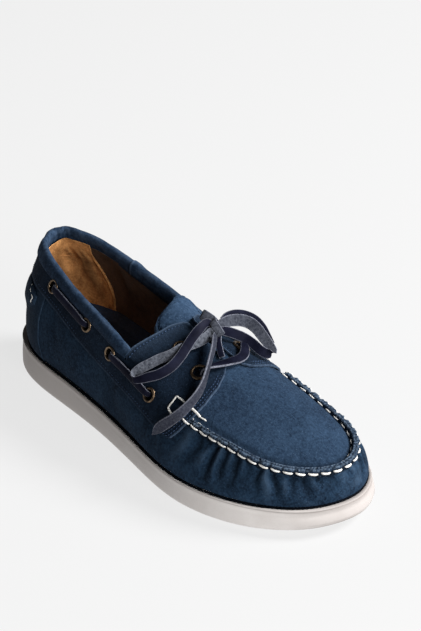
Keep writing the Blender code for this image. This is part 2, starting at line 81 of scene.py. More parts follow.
def feed(tree, node, inputs):
    # each input takes another node's output, or a constant
    for key, value in inputs.items():
        if isinstance(value, bpy.types.NodeSocket):
            tree.links.new(value, node.inputs[key])
        else:
            node.inputs[key].default_value = value


# camera and studio
studio = {
    "aim": (-0.0752, 0.0875, 0.020),
    "towards": (0.66141, -0.56167, 0.49704),
    "distance": 1.522,
    "lens": 127.5,
    "floorSize": 14.0,
    "floorColour": (100, 100, 100),
    "floorGlow": 0.735,
    "ambient": 0.08,
    "keyPlace": (1.15, 1.55, 1.75),
    "keyPower": 108.0,
    "keySize": 1.1,
    "fillPlace": (2.1, -0.25, 0.85),
    "fillPower": 44.0,
    "fillSize": 1.2,
}


def addLamp(name, place, power, size):
    lampData = bpy.data.lights.new(name, "AREA")
    lampData.shape = "DISK"
    lampData.energy = power
    lampData.size = size
    lamp = bpy.data.objects.new(name, lampData)
    lamp.location = place
    lamp.rotation_euler = (-Vector(place)).to_track_quat("-Z", "Y").to_euler()
    bpy.context.scene.collection.objects.link(lamp)


def buildStudio():
    cameraData = bpy.data.cameras.new("studioCamera")
    cameraData.lens = studio["lens"]
    cameraData.sensor_width = 36.0
    cameraData.clip_end = 30.0
    camera = bpy.data.objects.new("studioCamera", cameraData)
    back = Vector(studio["towards"]).normalized()
    camera.location = Vector(studio["aim"]) + back * studio["distance"]
    camera.rotation_euler = (-back).to_track_quat("-Z", "Y").to_euler()
    bpy.context.scene.collection.objects.link(camera)
    bpy.context.scene.camera = camera
    addLamp("keyLamp", studio["keyPlace"], studio["keyPower"], studio["keySize"])
    addLamp("fillLamp", studio["fillPlace"], studio["fillPower"], studio["fillSize"])
    world = bpy.data.worlds.new("studioWorld")
    world.use_nodes = True
    feed(world.node_tree, world.node_tree.nodes["Background"],
         {"Color": (1.0, 1.0, 1.0, 1.0), "Strength": studio["ambient"]})
    bpy.context.scene.world = world
    bpy.context.scene.view_settings.view_transform = "Standard"
    bpy.ops.object.select_all(action="DESELECT")
    bpy.ops.mesh.primitive_plane_add(size=studio["floorSize"], location=(0.0, 0.0, 0.0))
    floor = bpy.context.object
    floor.name = "studioFloor"
    paint = bpy.data.materials.new("floorPaper")
    paint.use_nodes = True
    feed(paint.node_tree, paint.node_tree.nodes["Principled BSDF"], {
        "Base Color": linearColour(*studio["floorColour"]), "Roughness": 0.95, "Specular IOR Level": 0.0,
        "Emission Color": (1.0, 1.0, 1.0, 1.0), "Emission Strength": studio["floorGlow"]})
    floor.data.materials.append(paint)


buildStudio()
print("camera, lamps and floor")

# form of the last: widest edge of the sole, lateral x, y then medial x, y, heel to toe
lastForm = {
    "soleEdge": [
        (0.0, 0.0, 0.0, 0.0), (10.5, -23.5, 9.9, 23.1), (35.0, -36.7, 35.0, 34.2),
        (75.0, -40.7, 75.0, 33.7), (120.0, -43.9, 120.0, 32.3), (165.0, -50.9, 165.0, 42.1),
        (205.0, -55.4, 205.0, 52.9), (240.0, -50.2, 240.0, 54.6), (270.0, -37.2, 274.0, 47.3),
        (292.0, -16.3, 294.0, 29.8), (300.0, 9.0, 300.0, 9.0)],
    # inset of the feather line, its height, swell of the wall, lean, dome
    "sections": [
        (2.0, 22.9, 0.0, 2.2, 2.0), (2.0, 22.6, 0.6, 2.2, 2.0), (2.2, 21.5, 2.0, 2.0, 2.0),
        (2.5, 20.0, 2.0, 1.8, 2.0), (2.6, 18.3, 1.0, 1.7, 2.1), (2.4, 17.1, 1.2, 1.7, 2.1),
        (2.1, 16.6, 1.8, 1.7, 1.9), (2.8, 17.2, 1.8, 1.7, 1.7), (4.0, 18.2, 1.5, 1.7, 1.5),
        (5.2, 19.0, 1.5, 1.7, 1.4), (6.0, 19.3, 1.5, 1.7, 1.4)],
    # collar line, then the seam round the plug
    "topLine": [
        (10.5, 3.0, 84.0, 10.5, 3.0, 84.0), (18.0, -11.5, 84.8, 13.0, 15.5, 84.3),
        (36.0, -19.5, 84.2, 34.0, 22.0, 83.0), (75.0, -27.0, 78.8, 75.0, 27.5, 75.8),
        (120.0, -32.5, 71.2, 120.0, 30.5, 67.5), (165.0, -37.4, 58.7, 165.0, 35.4, 58.2),
        (204.0, -38.9, 49.7, 204.0, 40.9, 49.3), (235.6, -34.5, 45.3, 236.0, 40.4, 44.9),
        (261.4, -25.7, 40.4, 263.0, 36.0, 42.2), (280.0, -9.2, 38.3, 280.2, 26.2, 39.9),
        (287.0, 10.0, 38.2, 287.0, 10.0, 38.2)],
    "crest": [
        (30.0, 0.0, 106.0), (40.0, 0.0, 106.0), (60.0, 1.0, 105.0), (98.0, 3.0, 98.0),
        (138.0, 5.5, 83.0), (176.0, 6.5, 71.0), (209.0, 7.0, 63.0), (232.0, 7.5, 57.5),
        (242.0, 8.0, 55.3), (246.0, 8.0, 54.4), (248.0, 8.0, 54.0)],
}


def unit(rows):
    return rows / np.linalg.norm(rows, axis=-1)[..., None]


def squared(rows, along):
    # a direction turned square to another one
    return unit(rows - along * (rows * along).sum(-1)[..., None])


def runOf(path):
    # length covered up to each point
    return np.concatenate([[0.0], np.cumsum(np.linalg.norm(np.diff(path[:, :3], axis=0), axis=1))])


def pickAlong(rows, run, want):
    return np.column_stack([np.interp(want, run, rows[:, k]) for k in range(rows.shape[1])])


def smoothStep(value, low, high):
    share = np.clip((np.asarray(value, float) - low) / (high - low), 0.0, 1.0)
    return share * share * (3.0 - 2.0 * share)


def fall(value, low, high):
    return 1.0 - smoothStep(value, low, high)


def bell(value, middle, wide):
    return np.exp(-((value - middle) / wide) ** 2)


def denseEnds(share, amount):
    return share - amount * np.sin(2.0 * math.pi * share) / (2.0 * math.pi)


def alongTable(rows, column, at):
    table = np.array(rows, float)
    return np.interp(at, table[:, 0], table[:, column])


def fineNoise(points, size, seed=0.0):
    # smooth unevenness from -1 to 1 with lumps about that many millimetres across
    return np.array([noise.noise(Vector(p / size) + Vector((seed, 0.0, 0.0))) for p in points])


def lumps(points, rows):
    # unevenness of more than one size: size, seed, height
    return sum(fineNoise(points, size, seed) * high for size, seed, high in rows)


def stationKnots():
    edge = np.array(lastForm["soleEdge"])
    lateralStep = np.linalg.norm(np.diff(edge[:, :2], axis=0), axis=1)
    medialStep = np.linalg.norm(np.diff(edge[:, 2:], axis=0), axis=1)
    run = np.cumsum(np.sqrt(lateralStep) + np.sqrt(medialStep))
    return np.concatenate([[0.0], run / run[-1]])


def makeLoop(lateral, medial):
    # smooth closed curve: 0 to 1 down the lateral side, 1 to 2 back up the medial side
    knots = np.concatenate([stationKnots(), 2.0 - stationKnots()[-2:0:-1]])
    values = np.vstack([lateral, medial[-2:0:-1]])
    count = len(knots)
    gaps = np.diff(np.append(knots, knots[0] + 2.0))
    rise = np.roll(values, -1, 0) - values
    matrix = np.zeros((count, count))
    right = np.zeros_like(values)
    for i in range(count):
        before, after = gaps[i - 1], gaps[i]
        matrix[i, i - 1] += before
        matrix[i, i] += 2.0 * (before + after)
        matrix[i, (i + 1) % count] += after
        right[i] = 6.0 * (rise[i] / after - rise[i - 1] / before)
    bend = np.linalg.solve(matrix, right)

    def at(t):
        t = np.mod(np.asarray(t, float), 2.0)
        i = np.clip(np.searchsorted(knots, t, side="right") - 1, 0, count - 1)
        j = (i + 1) % count
        gap = gaps[i]
        b = (t - knots[i]) / gap
        a = 1.0 - b
        curve = a[..., None] * values[i] + b[..., None] * values[j]
        curve = curve + ((a ** 3 - a) * gap * gap / 6.0)[..., None] * bend[i]
        return curve + ((b ** 3 - b) * gap * gap / 6.0)[..., None] * bend[j]

    return at


lastRows = {name: np.array(rows) for name, rows in lastForm.items()}
edgeLoop = makeLoop(lastRows["soleEdge"][:, :2], lastRows["soleEdge"][:, 2:])
topLoop = makeLoop(lastRows["topLine"][:, :3], lastRows["topLine"][:, 3:])
sectionLoop = makeLoop(lastRows["sections"], lastRows["sections"])
crestLoop = makeLoop(lastRows["crest"], lastRows["crest"])


def outward(t):
    step = unit(edgeLoop(np.asarray(t) + 1e-4) - edgeLoop(np.asarray(t) - 1e-4))
    return np.stack([step[..., 1], -step[..., 0]], -1)


def edgePoint(t, out):
    return edgeLoop(t) + outward(t) * np.asarray(out, float)[..., None]


def form(t, v):
    # outer face of the upper: v 0 at the sole, 1 at the collar or seam, 2 at the crest
    t, v = np.broadcast_arrays(np.asarray(t, float), np.asarray(v, float))
    section = sectionLoop(t)
    inset, high, swell = section[..., 0], section[..., 1], section[..., 2]
    lean, dome = section[..., 3], section[..., 4]
    foot = edgePoint(t, -inset)
    top = topLoop(t)
    crest = crestLoop(t)
    a = np.clip(v, 0.0, 1.0)
    plan = foot + (top[..., :2] - foot) * (a ** lean)[..., None]
    plan = plan + outward(t) * (swell * np.sin(math.pi * a ** 0.9))[..., None]
    rise = high + (top[..., 2] - high) * a
    q = np.clip(v - 1.0, 0.0, 1.0)
    over = top[..., :2] + (crest[..., :2] - top[..., :2]) * q[..., None]
    climb = (1.0 - (1.0 - q) ** dome) ** 0.9
    overRise = top[..., 2] + (crest[..., 2] - top[..., 2]) * climb
    wall = np.concatenate([plan, rise[..., None]], -1)
    plug = np.concatenate([over, overRise[..., None]], -1)
    return np.where((v < 1.0)[..., None], wall, plug)


def formNormal(t, v):
    t, v = np.broadcast_arrays(np.asarray(t, float), np.asarray(v, float))
    low = np.clip(v - 0.01, 0.0, 1.99)
    along = form(t + 0.004, v) - form(t - 0.004, v)
    up = form(t, np.minimum(low + 0.02, 2.0)) - form(t, low)
    n = np.cross(along, up)
    n = n / np.maximum(np.linalg.norm(n, axis=-1), 1e-9)[..., None]
    out = np.concatenate([outward(t), np.full(t.shape + (1,), 0.8)], -1)
    return n * np.where((n * out).sum(-1) < 0.0, -1.0, 1.0)[..., None]


def softForm(t, v, reach=0.10):
    # the form with its corner at the seam rounded, for leather that lies over it
    return 0.25 * form(t, v - reach) + 0.5 * form(t, v) + 0.25 * form(t, np.minimum(v + reach, 2.0))


def softNormal(t, v):
    return unit(formNormal(t, v - 0.10) + formNormal(t, v) * 2.0 + formNormal(t, np.minimum(v + 0.10, 2.0)))


def fromHeel(t):
    # ring position counted from the heel on either side
    ring = np.mod(t, 2.0)
    return np.minimum(ring, 2.0 - ring)


def heelDraw(t):
    # how far the leather is drawn in round the heel
    return 2.3 * fall(fromHeel(t), 0.12, 0.21)


def softLifted(t, v, height):
    return softForm(t, v) + softNormal(t, v) * (np.asarray(height, float) - heelDraw(t))[..., None]


def laceFrame(t, v, height):
    # a place on the form with its three directions: along the shoe, up the form, out of it
    t, v, height = (np.atleast_1d(np.asarray(k, float)) for k in (t, v, height))
    up = softNormal(t, v)[0]
    along = squared((softForm(t + 0.004, v) - softForm(t - 0.004, v))[0], up)
    return softLifted(t, v, height)[0], along, np.cross(up, along), up


def topFrame(t, up):
    # a place on the top line with its directions: along, out, up
    along = unit(topLoop(t + 0.003) - topLoop(t - 0.003))
    up = squared(up, along)
    out = np.cross(along, up)
    return topLoop(t), along, out * np.sign((out[:, :2] * outward(t)).sum(-1))[:, None], up


def smoothPath(points, spacing):
    points = np.asarray(points, float)
    gaps = np.linalg.norm(np.diff(points[:, :3], axis=0), axis=1)
    knots = np.concatenate([[0.0], np.cumsum(np.sqrt(gaps))])
    slope = np.gradient(points, knots, axis=0)
    u = np.linspace(0.0, 1.0, 14, endpoint=False)[:, None]
    fine = []
    for i in range(len(points) - 1):
        step = knots[i + 1] - knots[i]
        fine.append((2 * u ** 3 - 3 * u ** 2 + 1) * points[i] + (u ** 3 - 2 * u ** 2 + u) * step * slope[i]
                    + (3 * u ** 2 - 2 * u ** 3) * points[i + 1] + (u ** 3 - u ** 2) * step * slope[i + 1])
    fine = np.vstack(fine + [points[-1:]])
    run = runOf(fine)
    return pickAlong(fine, run, np.linspace(0.0, run[-1], max(4, int(round(run[-1] / spacing)) + 1)))


# mesh helpers
def onlySelect(piece):
    bpy.ops.object.select_all(action="DESELECT")
    piece.select_set(True)
    bpy.context.view_layer.objects.active = piece


def readPoints(piece):
    spots = np.zeros(len(piece.data.vertices) * 3)
    piece.data.vertices.foreach_get("co", spots)
    return spots.reshape(-1, 3)


def writePoints(piece, points):
    piece.data.vertices.foreach_set("co", toMetres(points).ravel())
    piece.data.update()


def setMask(piece, name, values):
    mask = piece.data.attributes.get(name) or piece.data.attributes.new(name, "FLOAT", "POINT")
    mask.data.foreach_set("value", np.asarray(values, float).ravel())


def newGrid(name, columns, rows):
    # a grid whose points are given back as shares across and up
    bpy.ops.object.select_all(action="DESELECT")
    bpy.ops.mesh.primitive_grid_add(x_subdivisions=columns, y_subdivisions=rows, size=1.0)
    piece = bpy.context.object
    piece.name = name
    piece.data.name = name
    spots = readPoints(piece)
    across = np.round((spots[:, 0] + 0.5) * columns) / columns
    up = np.round((spots[:, 1] + 0.5) * rows) / rows
    return piece, across, up


def editMesh(piece, step, markedFaces=False):
    # the step takes all of the mesh, or only the faces marked before
    onlySelect(piece)
    bpy.ops.object.mode_set(mode="EDIT")
    if markedFaces:
        bpy.ops.mesh.select_mode(type="FACE")
    else:
        bpy.ops.mesh.select_all(action="SELECT")
    step()
    bpy.ops.object.mode_set(mode="OBJECT")


def weld(piece):
    editMesh(piece, lambda: bpy.ops.mesh.remove_doubles(threshold=0.00002))


def turnOutward(piece):
    editMesh(piece, lambda: bpy.ops.mesh.normals_make_consistent(inside=False))


def flip(piece):
    editMesh(piece, lambda: bpy.ops.mesh.flip_normals())


def closeEnds(piece):
    weld(piece)
    editMesh(piece, lambda: bpy.ops.mesh.fill_holes(sides=0))
    turnOutward(piece)


def deleteFaces(piece, doomed):
    mesh = piece.data
    mesh.vertices.foreach_set("select", np.zeros(len(mesh.vertices), bool))
    mesh.edges.foreach_set("select", np.zeros(len(mesh.edges), bool))
    mesh.polygons.foreach_set("select", np.asarray(doomed, bool))
    editMesh(piece, lambda: bpy.ops.mesh.delete(type="FACE"), True)


def faceCentres(piece):
    centres = np.zeros(len(piece.data.polygons) * 3)
    piece.data.polygons.foreach_get("center", centres)
    return centres.reshape(-1, 3) * 1000.0 + origin


def applyModifier(piece, kind, **values):
    onlySelect(piece)
    made = piece.modifiers.new(kind, kind)
    for key, value in values.items():
        setattr(made, key, value)
    bpy.ops.object.modifier_apply(modifier=made.name)


def thicken(piece, thick, soft=0.0):
    # gives a sheet its wall, going in from the face that it has
    applyModifier(piece, "SOLIDIFY", thickness=thick * 0.001, offset=-1.0, use_even_offset=False)
    if soft > 0.0:
        applyModifier(piece, "BEVEL", width=soft * 0.001, segments=2, limit_method="ANGLE",
                      angle_limit=math.radians(55.0))


def finishPiece(piece, material, replaced=(), sharp=60.0):
    piece.data.materials.clear()
    piece.data.materials.append(material)
    onlySelect(piece)
    bpy.ops.object.shade_smooth_by_angle(angle=math.radians(sharp))
    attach(piece, "root")
    if replaced:
        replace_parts(piece, *replaced)
    return piece


def joinCopies(name, template, places):
    # the modelled shape copied to each place, then joined into one piece
    copies = []
    for place in places:
        copy = template.copy()
        copy.data = template.data.copy()
        copy.data.transform(place)
        bpy.context.scene.collection.objects.link(copy)
        copies.append(copy)
    bpy.ops.object.select_all(action="DESELECT")
    for copy in copies:
        copy.select_set(True)
    bpy.context.view_layer.objects.active = copies[0]
    bpy.ops.object.join()
    joined = bpy.context.object
    joined.name = name
    joined.data.name = name
    return joined


def frameMatrix(spot, ahead, side, up, scale=(1.0, 1.0, 1.0)):
    turn = Matrix((Vector(ahead) * scale[0], Vector(side) * scale[1], Vector(up) * scale[2])).transposed()
    place = turn.to_4x4()
    place.translation = Vector(toMetres(spot))
    return place


# materials
def addNode(tree, kind, inputs, **settings):
    node = tree.nodes.new(kind)
    for key, value in settings.items():
        setattr(node, key, value)
    feed(tree, node, inputs)
    return node


def makeGroup(name, inputs, outputs):
    # values in with their defaults, values out, and the vector that every pattern reads
    group = bpy.data.node_groups.new(name, "ShaderNodeTree")
    group.interface.new_socket("Vector", in_out="INPUT", socket_type="NodeSocketVector")
    for label, value in inputs.items():
        group.interface.new_socket(label, in_out="INPUT", socket_type="NodeSocketFloat").default_value = value
    for label in outputs:
        group.interface.new_socket(label, in_out="OUTPUT", socket_type="NodeSocketFloat")
    return group, group.nodes.new("NodeGroupInput").outputs, group.nodes.new("NodeGroupOutput")


def mathNode(tree, operation, first, second):
    return addNode(tree, "ShaderNodeMath", {0: first, 1: second}, operation=operation).outputs[0]


def rangeNode(tree, value, low, high, newLow=0.0, newHigh=1.0):
    return addNode(tree, "ShaderNodeMapRange", {"Value": value, "From Min": low, "From Max": high, "To Min": newLow,
                                                "To Max": newHigh}).outputs["Result"]


def mixColour(tree, share, first, second, blend="MIX"):
    first, second = (linearColour(*k) if isinstance(k, tuple) else k for k in (first, second))
    return addNode(tree, "ShaderNodeMix", {0: share, 6: first, 7: second}, data_type="RGBA",
                   blend_type=blend).outputs[2]


def noiseNode(tree, vector, scale, detail=3.0, rough=0.55, twist=0.0):
    return addNode(tree, "ShaderNodeTexNoise", {"Vector": vector, "Scale": scale, "Detail": detail, "Roughness": rough,
                                                "Distortion": twist}).outputs["Fac"]


def weighted(tree, *parts):
    # sum of values, each with its weight
    total = None
    for value, weight in parts:
        part = mathNode(tree, "MULTIPLY", value, weight)
        total = part if total is None else mathNode(tree, "ADD", total, part)
    return total


def toneNode(tree, value, low, high, dark, light):
    return mixColour(tree, rangeNode(tree, value, low, high), dark, light)


def waveNode(tree, vector, direction, scale, twist):
    return addNode(tree, "ShaderNodeTexWave", {"Vector": vector, "Scale": scale, "Distortion": twist, "Detail": 1.0},
                   wave_type="BANDS", bands_direction=direction).outputs["Fac"]


def makeNapGroup():
    # brushed nap: wide patches where the hair lies another way, a fine grain and pale flecks
    group, (vector, grainScale, patchScale, *_), out = makeGroup(
        "brushedNap", {"Grain Scale": 700.0, "Patch Scale": 42.0}, ["Tone", "Fleck", "Height"])
    patch = noiseNode(group, vector, patchScale, 4.0, 0.62, 0.6)
    mid = noiseNode(group, vector, mathNode(group, "MULTIPLY", patchScale, 5.5), 3.0, 0.6, 0.9)
    grain = noiseNode(group, vector, grainScale, 2.0, 0.7)
    fine = noiseNode(group, vector, mathNode(group, "MULTIPLY", grainScale, 2.6), 1.0, 0.5)
    tone = weighted(group, (rangeNode(group, patch, 0.34, 0.68), 0.34), (rangeNode(group, mid, 0.32, 0.68), 0.26),
                    (rangeNode(group, grain, 0.36, 0.64), 0.40))
    feed(group, out, {"Tone": tone, "Fleck": rangeNode(group, fine, 0.66, 0.80),
                      "Height": weighted(group, (grain, 0.7), (fine, 0.3), (mid, 0.5))})
    return group


def makeEdgeGroup():
    # pale, broken line along a cut edge, from the piece's own mask
    group, (vector, mask, breakScale, *_), out = makeGroup("cutEdge", {"Mask": 0.0, "Break Scale": 350.0}, ["Wear"])
    broken = noiseNode(group, vector, breakScale, 3.0, 0.6)
    feed(group, out, {"Wear": mathNode(group, "MULTIPLY", mask, rangeNode(group, broken, 0.30, 0.62, 0.35, 1.0))})
    return group


napGroup = makeNapGroup()
edgeGroup = makeEdgeGroup()


def startMaterial(name):
    material = bpy.data.materials.new(name)
    material.use_nodes = True
    tree = material.node_tree
    return material, tree, addNode(tree, "ShaderNodeTexCoord", {}).outputs["Object"]


def maskNode(tree, name):
    return addNode(tree, "ShaderNodeAttribute", {}, attribute_name=name).outputs["Fac"]


def endMaterial(material, colour, height, bump, depth, rough, constants):
    tree = material.node_tree
    relief = addNode(tree, "ShaderNodeBump", {"Height": height, "Strength": bump, "Distance": depth})
    feed(tree, tree.nodes["Principled BSDF"], {"Base Color": colour, "Roughness": rough,
                                               "Normal": relief.outputs["Normal"], **constants})
    return material


# the pale colour serves the nap's flecks, worn cut edges and painted highlights
def makeSuede(name, dark, light, wearAndHighlight, grainScale=620.0, patchScale=42.0, sheen=0.04, bump=0.65):
    material, tree, place = startMaterial(name)
    nap = addNode(tree, "ShaderNodeGroup", {"Vector": place, "Grain Scale": grainScale, "Patch Scale": patchScale},
                  node_tree=napGroup)
    tone, fleck, height = nap.outputs[:3]
    edge = addNode(tree, "ShaderNodeGroup", {"Vector": place, "Mask": maskNode(tree, "edge")}, node_tree=edgeGroup)
    colour = mixColour(tree, tone, dark, light)
    # painted shade and highlight from the folds: below zero darkens a trough with painted shade, above zero lightens a
    # ridge towards the pale colour as a painted highlight
    shadeAndHighlight = maskNode(tree, "shadeAndHighlight")
    colour = mixColour(tree, rangeNode(tree, shadeAndHighlight, 0.0, 1.0, 0.0, 0.45), colour, wearAndHighlight)
    colour = mixColour(tree, 1.0, colour, rangeNode(tree, shadeAndHighlight, -1.0, 0.0, 0.45, 1.0), "MULTIPLY")
    colour = mixColour(tree, mathNode(tree, "MULTIPLY", fleck, 0.42), colour, wearAndHighlight)
    colour = mixColour(tree, mathNode(tree, "MULTIPLY", edge.outputs["Wear"], 0.85), colour, wearAndHighlight)
    return endMaterial(material, colour, height, bump, 0.0006, rangeNode(tree, tone, 0.0, 1.0, 0.98, 0.82),
                       {"Specular IOR Level": 0.06, "Sheen Weight": sheen, "Sheen Roughness": 0.45,
                        "Sheen Tint": linearColour(150, 175, 215)})


def makeRubber():
    material, tree, place = startMaterial("soleRubber")
    mottle = noiseNode(tree, place, 60.0, 4.0, 0.6)
    speck = noiseNode(tree, place, 900.0, 2.0, 0.6)
    colour = toneNode(tree, mottle, 0.3, 0.7, (215, 209, 205), (224, 219, 216))
    dust = mathNode(tree, "MULTIPLY", rangeNode(tree, speck, 0.6, 0.75), 0.12)
    colour = mixColour(tree, dust, colour, (150, 140, 130))
    # painted shade: the groove mask darkens the rubber towards a dull brown-grey
    soilAndShade = mathNode(tree, "MULTIPLY", maskNode(tree, "groove"), 0.8)
    colour = mixColour(tree, soilAndShade, colour, (115, 106, 102))
    return endMaterial(material, colour, speck, 0.12, 0.0003, rangeNode(tree, mottle, 0.3, 0.7, 0.55, 0.68),
                       {"Specular IOR Level": 0.35})


def makeLining(name, dark, light, scale, weave):
    material, tree, place = startMaterial(name)
    patch = noiseNode(tree, place, scale, 5.0, 0.62, 0.5)
    grain = noiseNode(tree, place, 750.0, 3.0, 0.6)
    tone = weighted(tree, (rangeNode(tree, patch, 0.3, 0.7), 0.6), (rangeNode(tree, grain, 0.3, 0.7), 0.4))
    colour = mixColour(tree, tone, dark, light)
    # painted shade: darker in the wrinkles' troughs
    troughShade = rangeNode(tree, maskNode(tree, "shadeAndHighlight"), -1.0, 0.0, 0.35, 1.0)
    height = grain
    if weave > 0.0:
        height = mathNode(tree, "ADD", waveNode(tree, place, "Z", weave, 0.6), grain)
    return endMaterial(material, mixColour(tree, 1.0, colour, troughShade, "MULTIPLY"), height, 0.5, 0.0004, 0.8,
                       {"Specular IOR Level": 0.2})


def makeBrass():
    material, tree, place = startMaterial("antiqueBrass")
    stain = noiseNode(tree, place, 420.0, 4.0, 0.65)
    return endMaterial(material, toneNode(tree, stain, 0.35, 0.65, (56, 45, 36), (136, 116, 94)), stain, 0.1, 0.0002,
                       rangeNode(tree, stain, 0.35, 0.65, 0.5, 0.26), {"Metallic": 1.0})


def makeThread():
    material, tree, place = startMaterial("waxedThread")
    twist = waveNode(tree, place, "DIAGONAL", 520.0, 1.2)
    soilAndShade = noiseNode(tree, place, 160.0, 3.0, 0.6)
    colour = toneNode(tree, soilAndShade, 0.3, 0.7, (205, 202, 196), (238, 237, 233))
    # painted shade: darker along the grooves of the twist
    colour = mixColour(tree, rangeNode(tree, twist, 0.0, 0.4, 0.25, 0.0), colour, (150, 146, 140))
    return endMaterial(material, colour, twist, 0.4, 0.0003, 0.6, {})


def makeLaceLeather():
    # grain side dark, flesh side pale and fuzzy, cut edges palest
    material, tree, place = startMaterial("laceLeather")
    fibre = noiseNode(tree, place, 700.0, 4.0, 0.65, 0.4)
    wide = noiseNode(tree, place, 90.0, 4.0, 0.6)
    flesh = maskNode(tree, "flesh")
    colour = mixColour(tree, flesh, toneNode(tree, wide, 0.3, 0.7, (12, 13, 25), (27, 29, 45)),
                       toneNode(tree, fibre, 0.3, 0.7, (44, 47, 56), (104, 108, 117)))
    rub = mathNode(tree, "MULTIPLY", maskNode(tree, "edge"), rangeNode(tree, fibre, 0.3, 0.6, 0.25, 0.85))
    colour = mixColour(tree, rub, colour, (140, 143, 156))
    return endMaterial(material, colour, fibre, 0.35, 0.0004, rangeNode(tree, flesh, 0.0, 1.0, 0.5, 0.85),
                       {"Specular IOR Level": 0.03})


suedeWall = makeSuede("suedeWall", (7, 16, 29), (37, 59, 81), (82, 104, 128))
suedePlug = makeSuede("suedePlug", (17, 29, 45), (47, 67, 90), (100, 122, 146))
suedeSaddle = makeSuede("suedeSaddle", (6, 14, 25), (27, 41, 58), (84, 102, 126))
suedeFuzzy = makeSuede("suedeFuzzy", (12, 23, 38), (44, 63, 86), (92, 112, 138), 520.0, 60.0, 0.08, 0.9)
suedeTongue = makeSuede("suedeTongue", (24, 40, 60), (64, 86, 112), (110, 132, 158), 560.0, 50.0)
suedeRidge = makeSuede("suedeRidge", (6, 13, 24), (36, 53, 74), (112, 130, 150), 480.0, 90.0, 0.08, 1.0)
navyThread = makeSuede("navyThread", (34, 48, 70), (66, 86, 116), (96, 116, 146), sheen=0.1, bump=0.2)
# a near-black suede for the painted shadow in the crevice under the upper
creviceShadowSuede = makeSuede("creviceShadowSuede", (6, 9, 15), (14, 20, 30), (40, 50, 64), sheen=0.0, bump=0.3)
soleRubber = makeRubber()
liningTan = makeLining("liningTan", (104, 60, 28), (218, 160, 100), 130.0, 0.0)
# the forward lining's dark colour is partly painted shade inside the shoe
liningDark = makeLining("liningDark", (54, 42, 34), (98, 78, 64), 60.0, 420.0)
insoleCloth = makeLining("insoleCloth", (30, 42, 64), (58, 78, 108), 60.0, 0.0)
antiqueBrass = makeBrass()
waxedThread = makeThread()
laceLeather = makeLaceLeather()
print("materials")

# lace: flat hide with a grain side, a flesh side and pale cut edges
laceSize = {"wide": 6.4, "thick": 1.35, "corner": 0.25, "spacing": 0.9, "front": (0.66, -0.56, 0.50)}


def laceSection(wide, thick, cup):
    # across, out of the grain side, flesh mask, edge mask
    h, t, c = wide / 2.0, thick / 2.0, laceSize["corner"]
    grainSide = [(-h + c, t, 0.6), (-h + c + 0.3, t, 0.0)] + [(h * k, t, 0.0) for k in (-0.6, -0.3, 0.0, 0.3, 0.6)]
    grainSide += [(h - c - 0.3, t, 0.0), (h - c, t, 0.6)]
    rows = [(-h, 0.3 * t, 0.3, 1.0)] + [(a, b, 0.0, e) for a, b, e in grainSide] + [(h, 0.3 * t, 0.3, 1.0)]
    rows += [(h, -0.3 * t, 0.7, 1.0)] + [(a, -b, 1.0, e) for a, b, e in reversed(grainSide)]
    rows += [(-h, -0.3 * t, 0.7, 1.0)]
    return np.array([(a, b - cup * (a / h) ** 2, f, e) for a, b, f, e in rows])


def facedRows(rows):
    # rows given as place, turn and share: at no turn the grain side looks out to the front of the shoe
    rows = np.array(rows, float)
    ahead = np.gradient(rows[:, :3], axis=0)
    ahead = ahead / np.linalg.norm(ahead, axis=1)[:, None]
    front = np.array(laceSize["front"]) / np.linalg.norm(laceSize["front"])
    level = np.cross(front, ahead)
    level = level / np.linalg.norm(level, axis=1)[:, None]
    turn = np.radians(rows[:, 3])[:, None]
    wide = level * np.cos(turn) + np.cross(ahead, level) * np.sin(turn)
    return np.column_stack([rows[:, :3], wide, rows[:, 4]])


def laceStrip(name, rows, cup=0.3, pale=1.0, rubbed=(0.0, 0.0, 1.0)):
    # each row: place, direction of the lace's width, share of its width
    if len(rows[0]) == 5:
        rows = facedRows(rows)
    path = smoothPath(rows, laceSize["spacing"])
    spots, share = path[:, :3], path[:, 6]
    ahead = unit(np.gradient(spots, axis=0))
    wide = squared(path[:, 3:6], ahead)
    up = np.cross(ahead, wide)
    section = laceSection(laceSize["wide"], laceSize["thick"], cup)
    corners = len(section)
    piece, across, along = newGrid(name, corners, len(spots) - 1)
    k = np.round(across * corners).astype(int) % corners
    i = np.round(along * (len(spots) - 1)).astype(int)
    place = (spots[i] + wide[i] * (section[k, 0] * share[i])[:, None]
             + up[i] * (section[k, 1] * (0.6 + 0.4 * share[i]))[:, None])
    writePoints(piece, place + up[i] * (fineNoise(place, 9.0, len(name)) * 0.12)[:, None])
    # painted highlight: the lace paler above a given height; painted shade: a pale share below 1 darkens the flesh
    # side
    wearAndHighlight = rubbed[0] * smoothStep(place[:, 2], rubbed[1], rubbed[2])
    setMask(piece, "flesh", np.clip(section[k, 2] * pale + wearAndHighlight, 0.0, 1.0))
    setMask(piece, "edge", section[k, 3])
    closeEnds(piece)
    return finishPiece(piece, laceLeather, sharp=50.0), toMetres(spots)


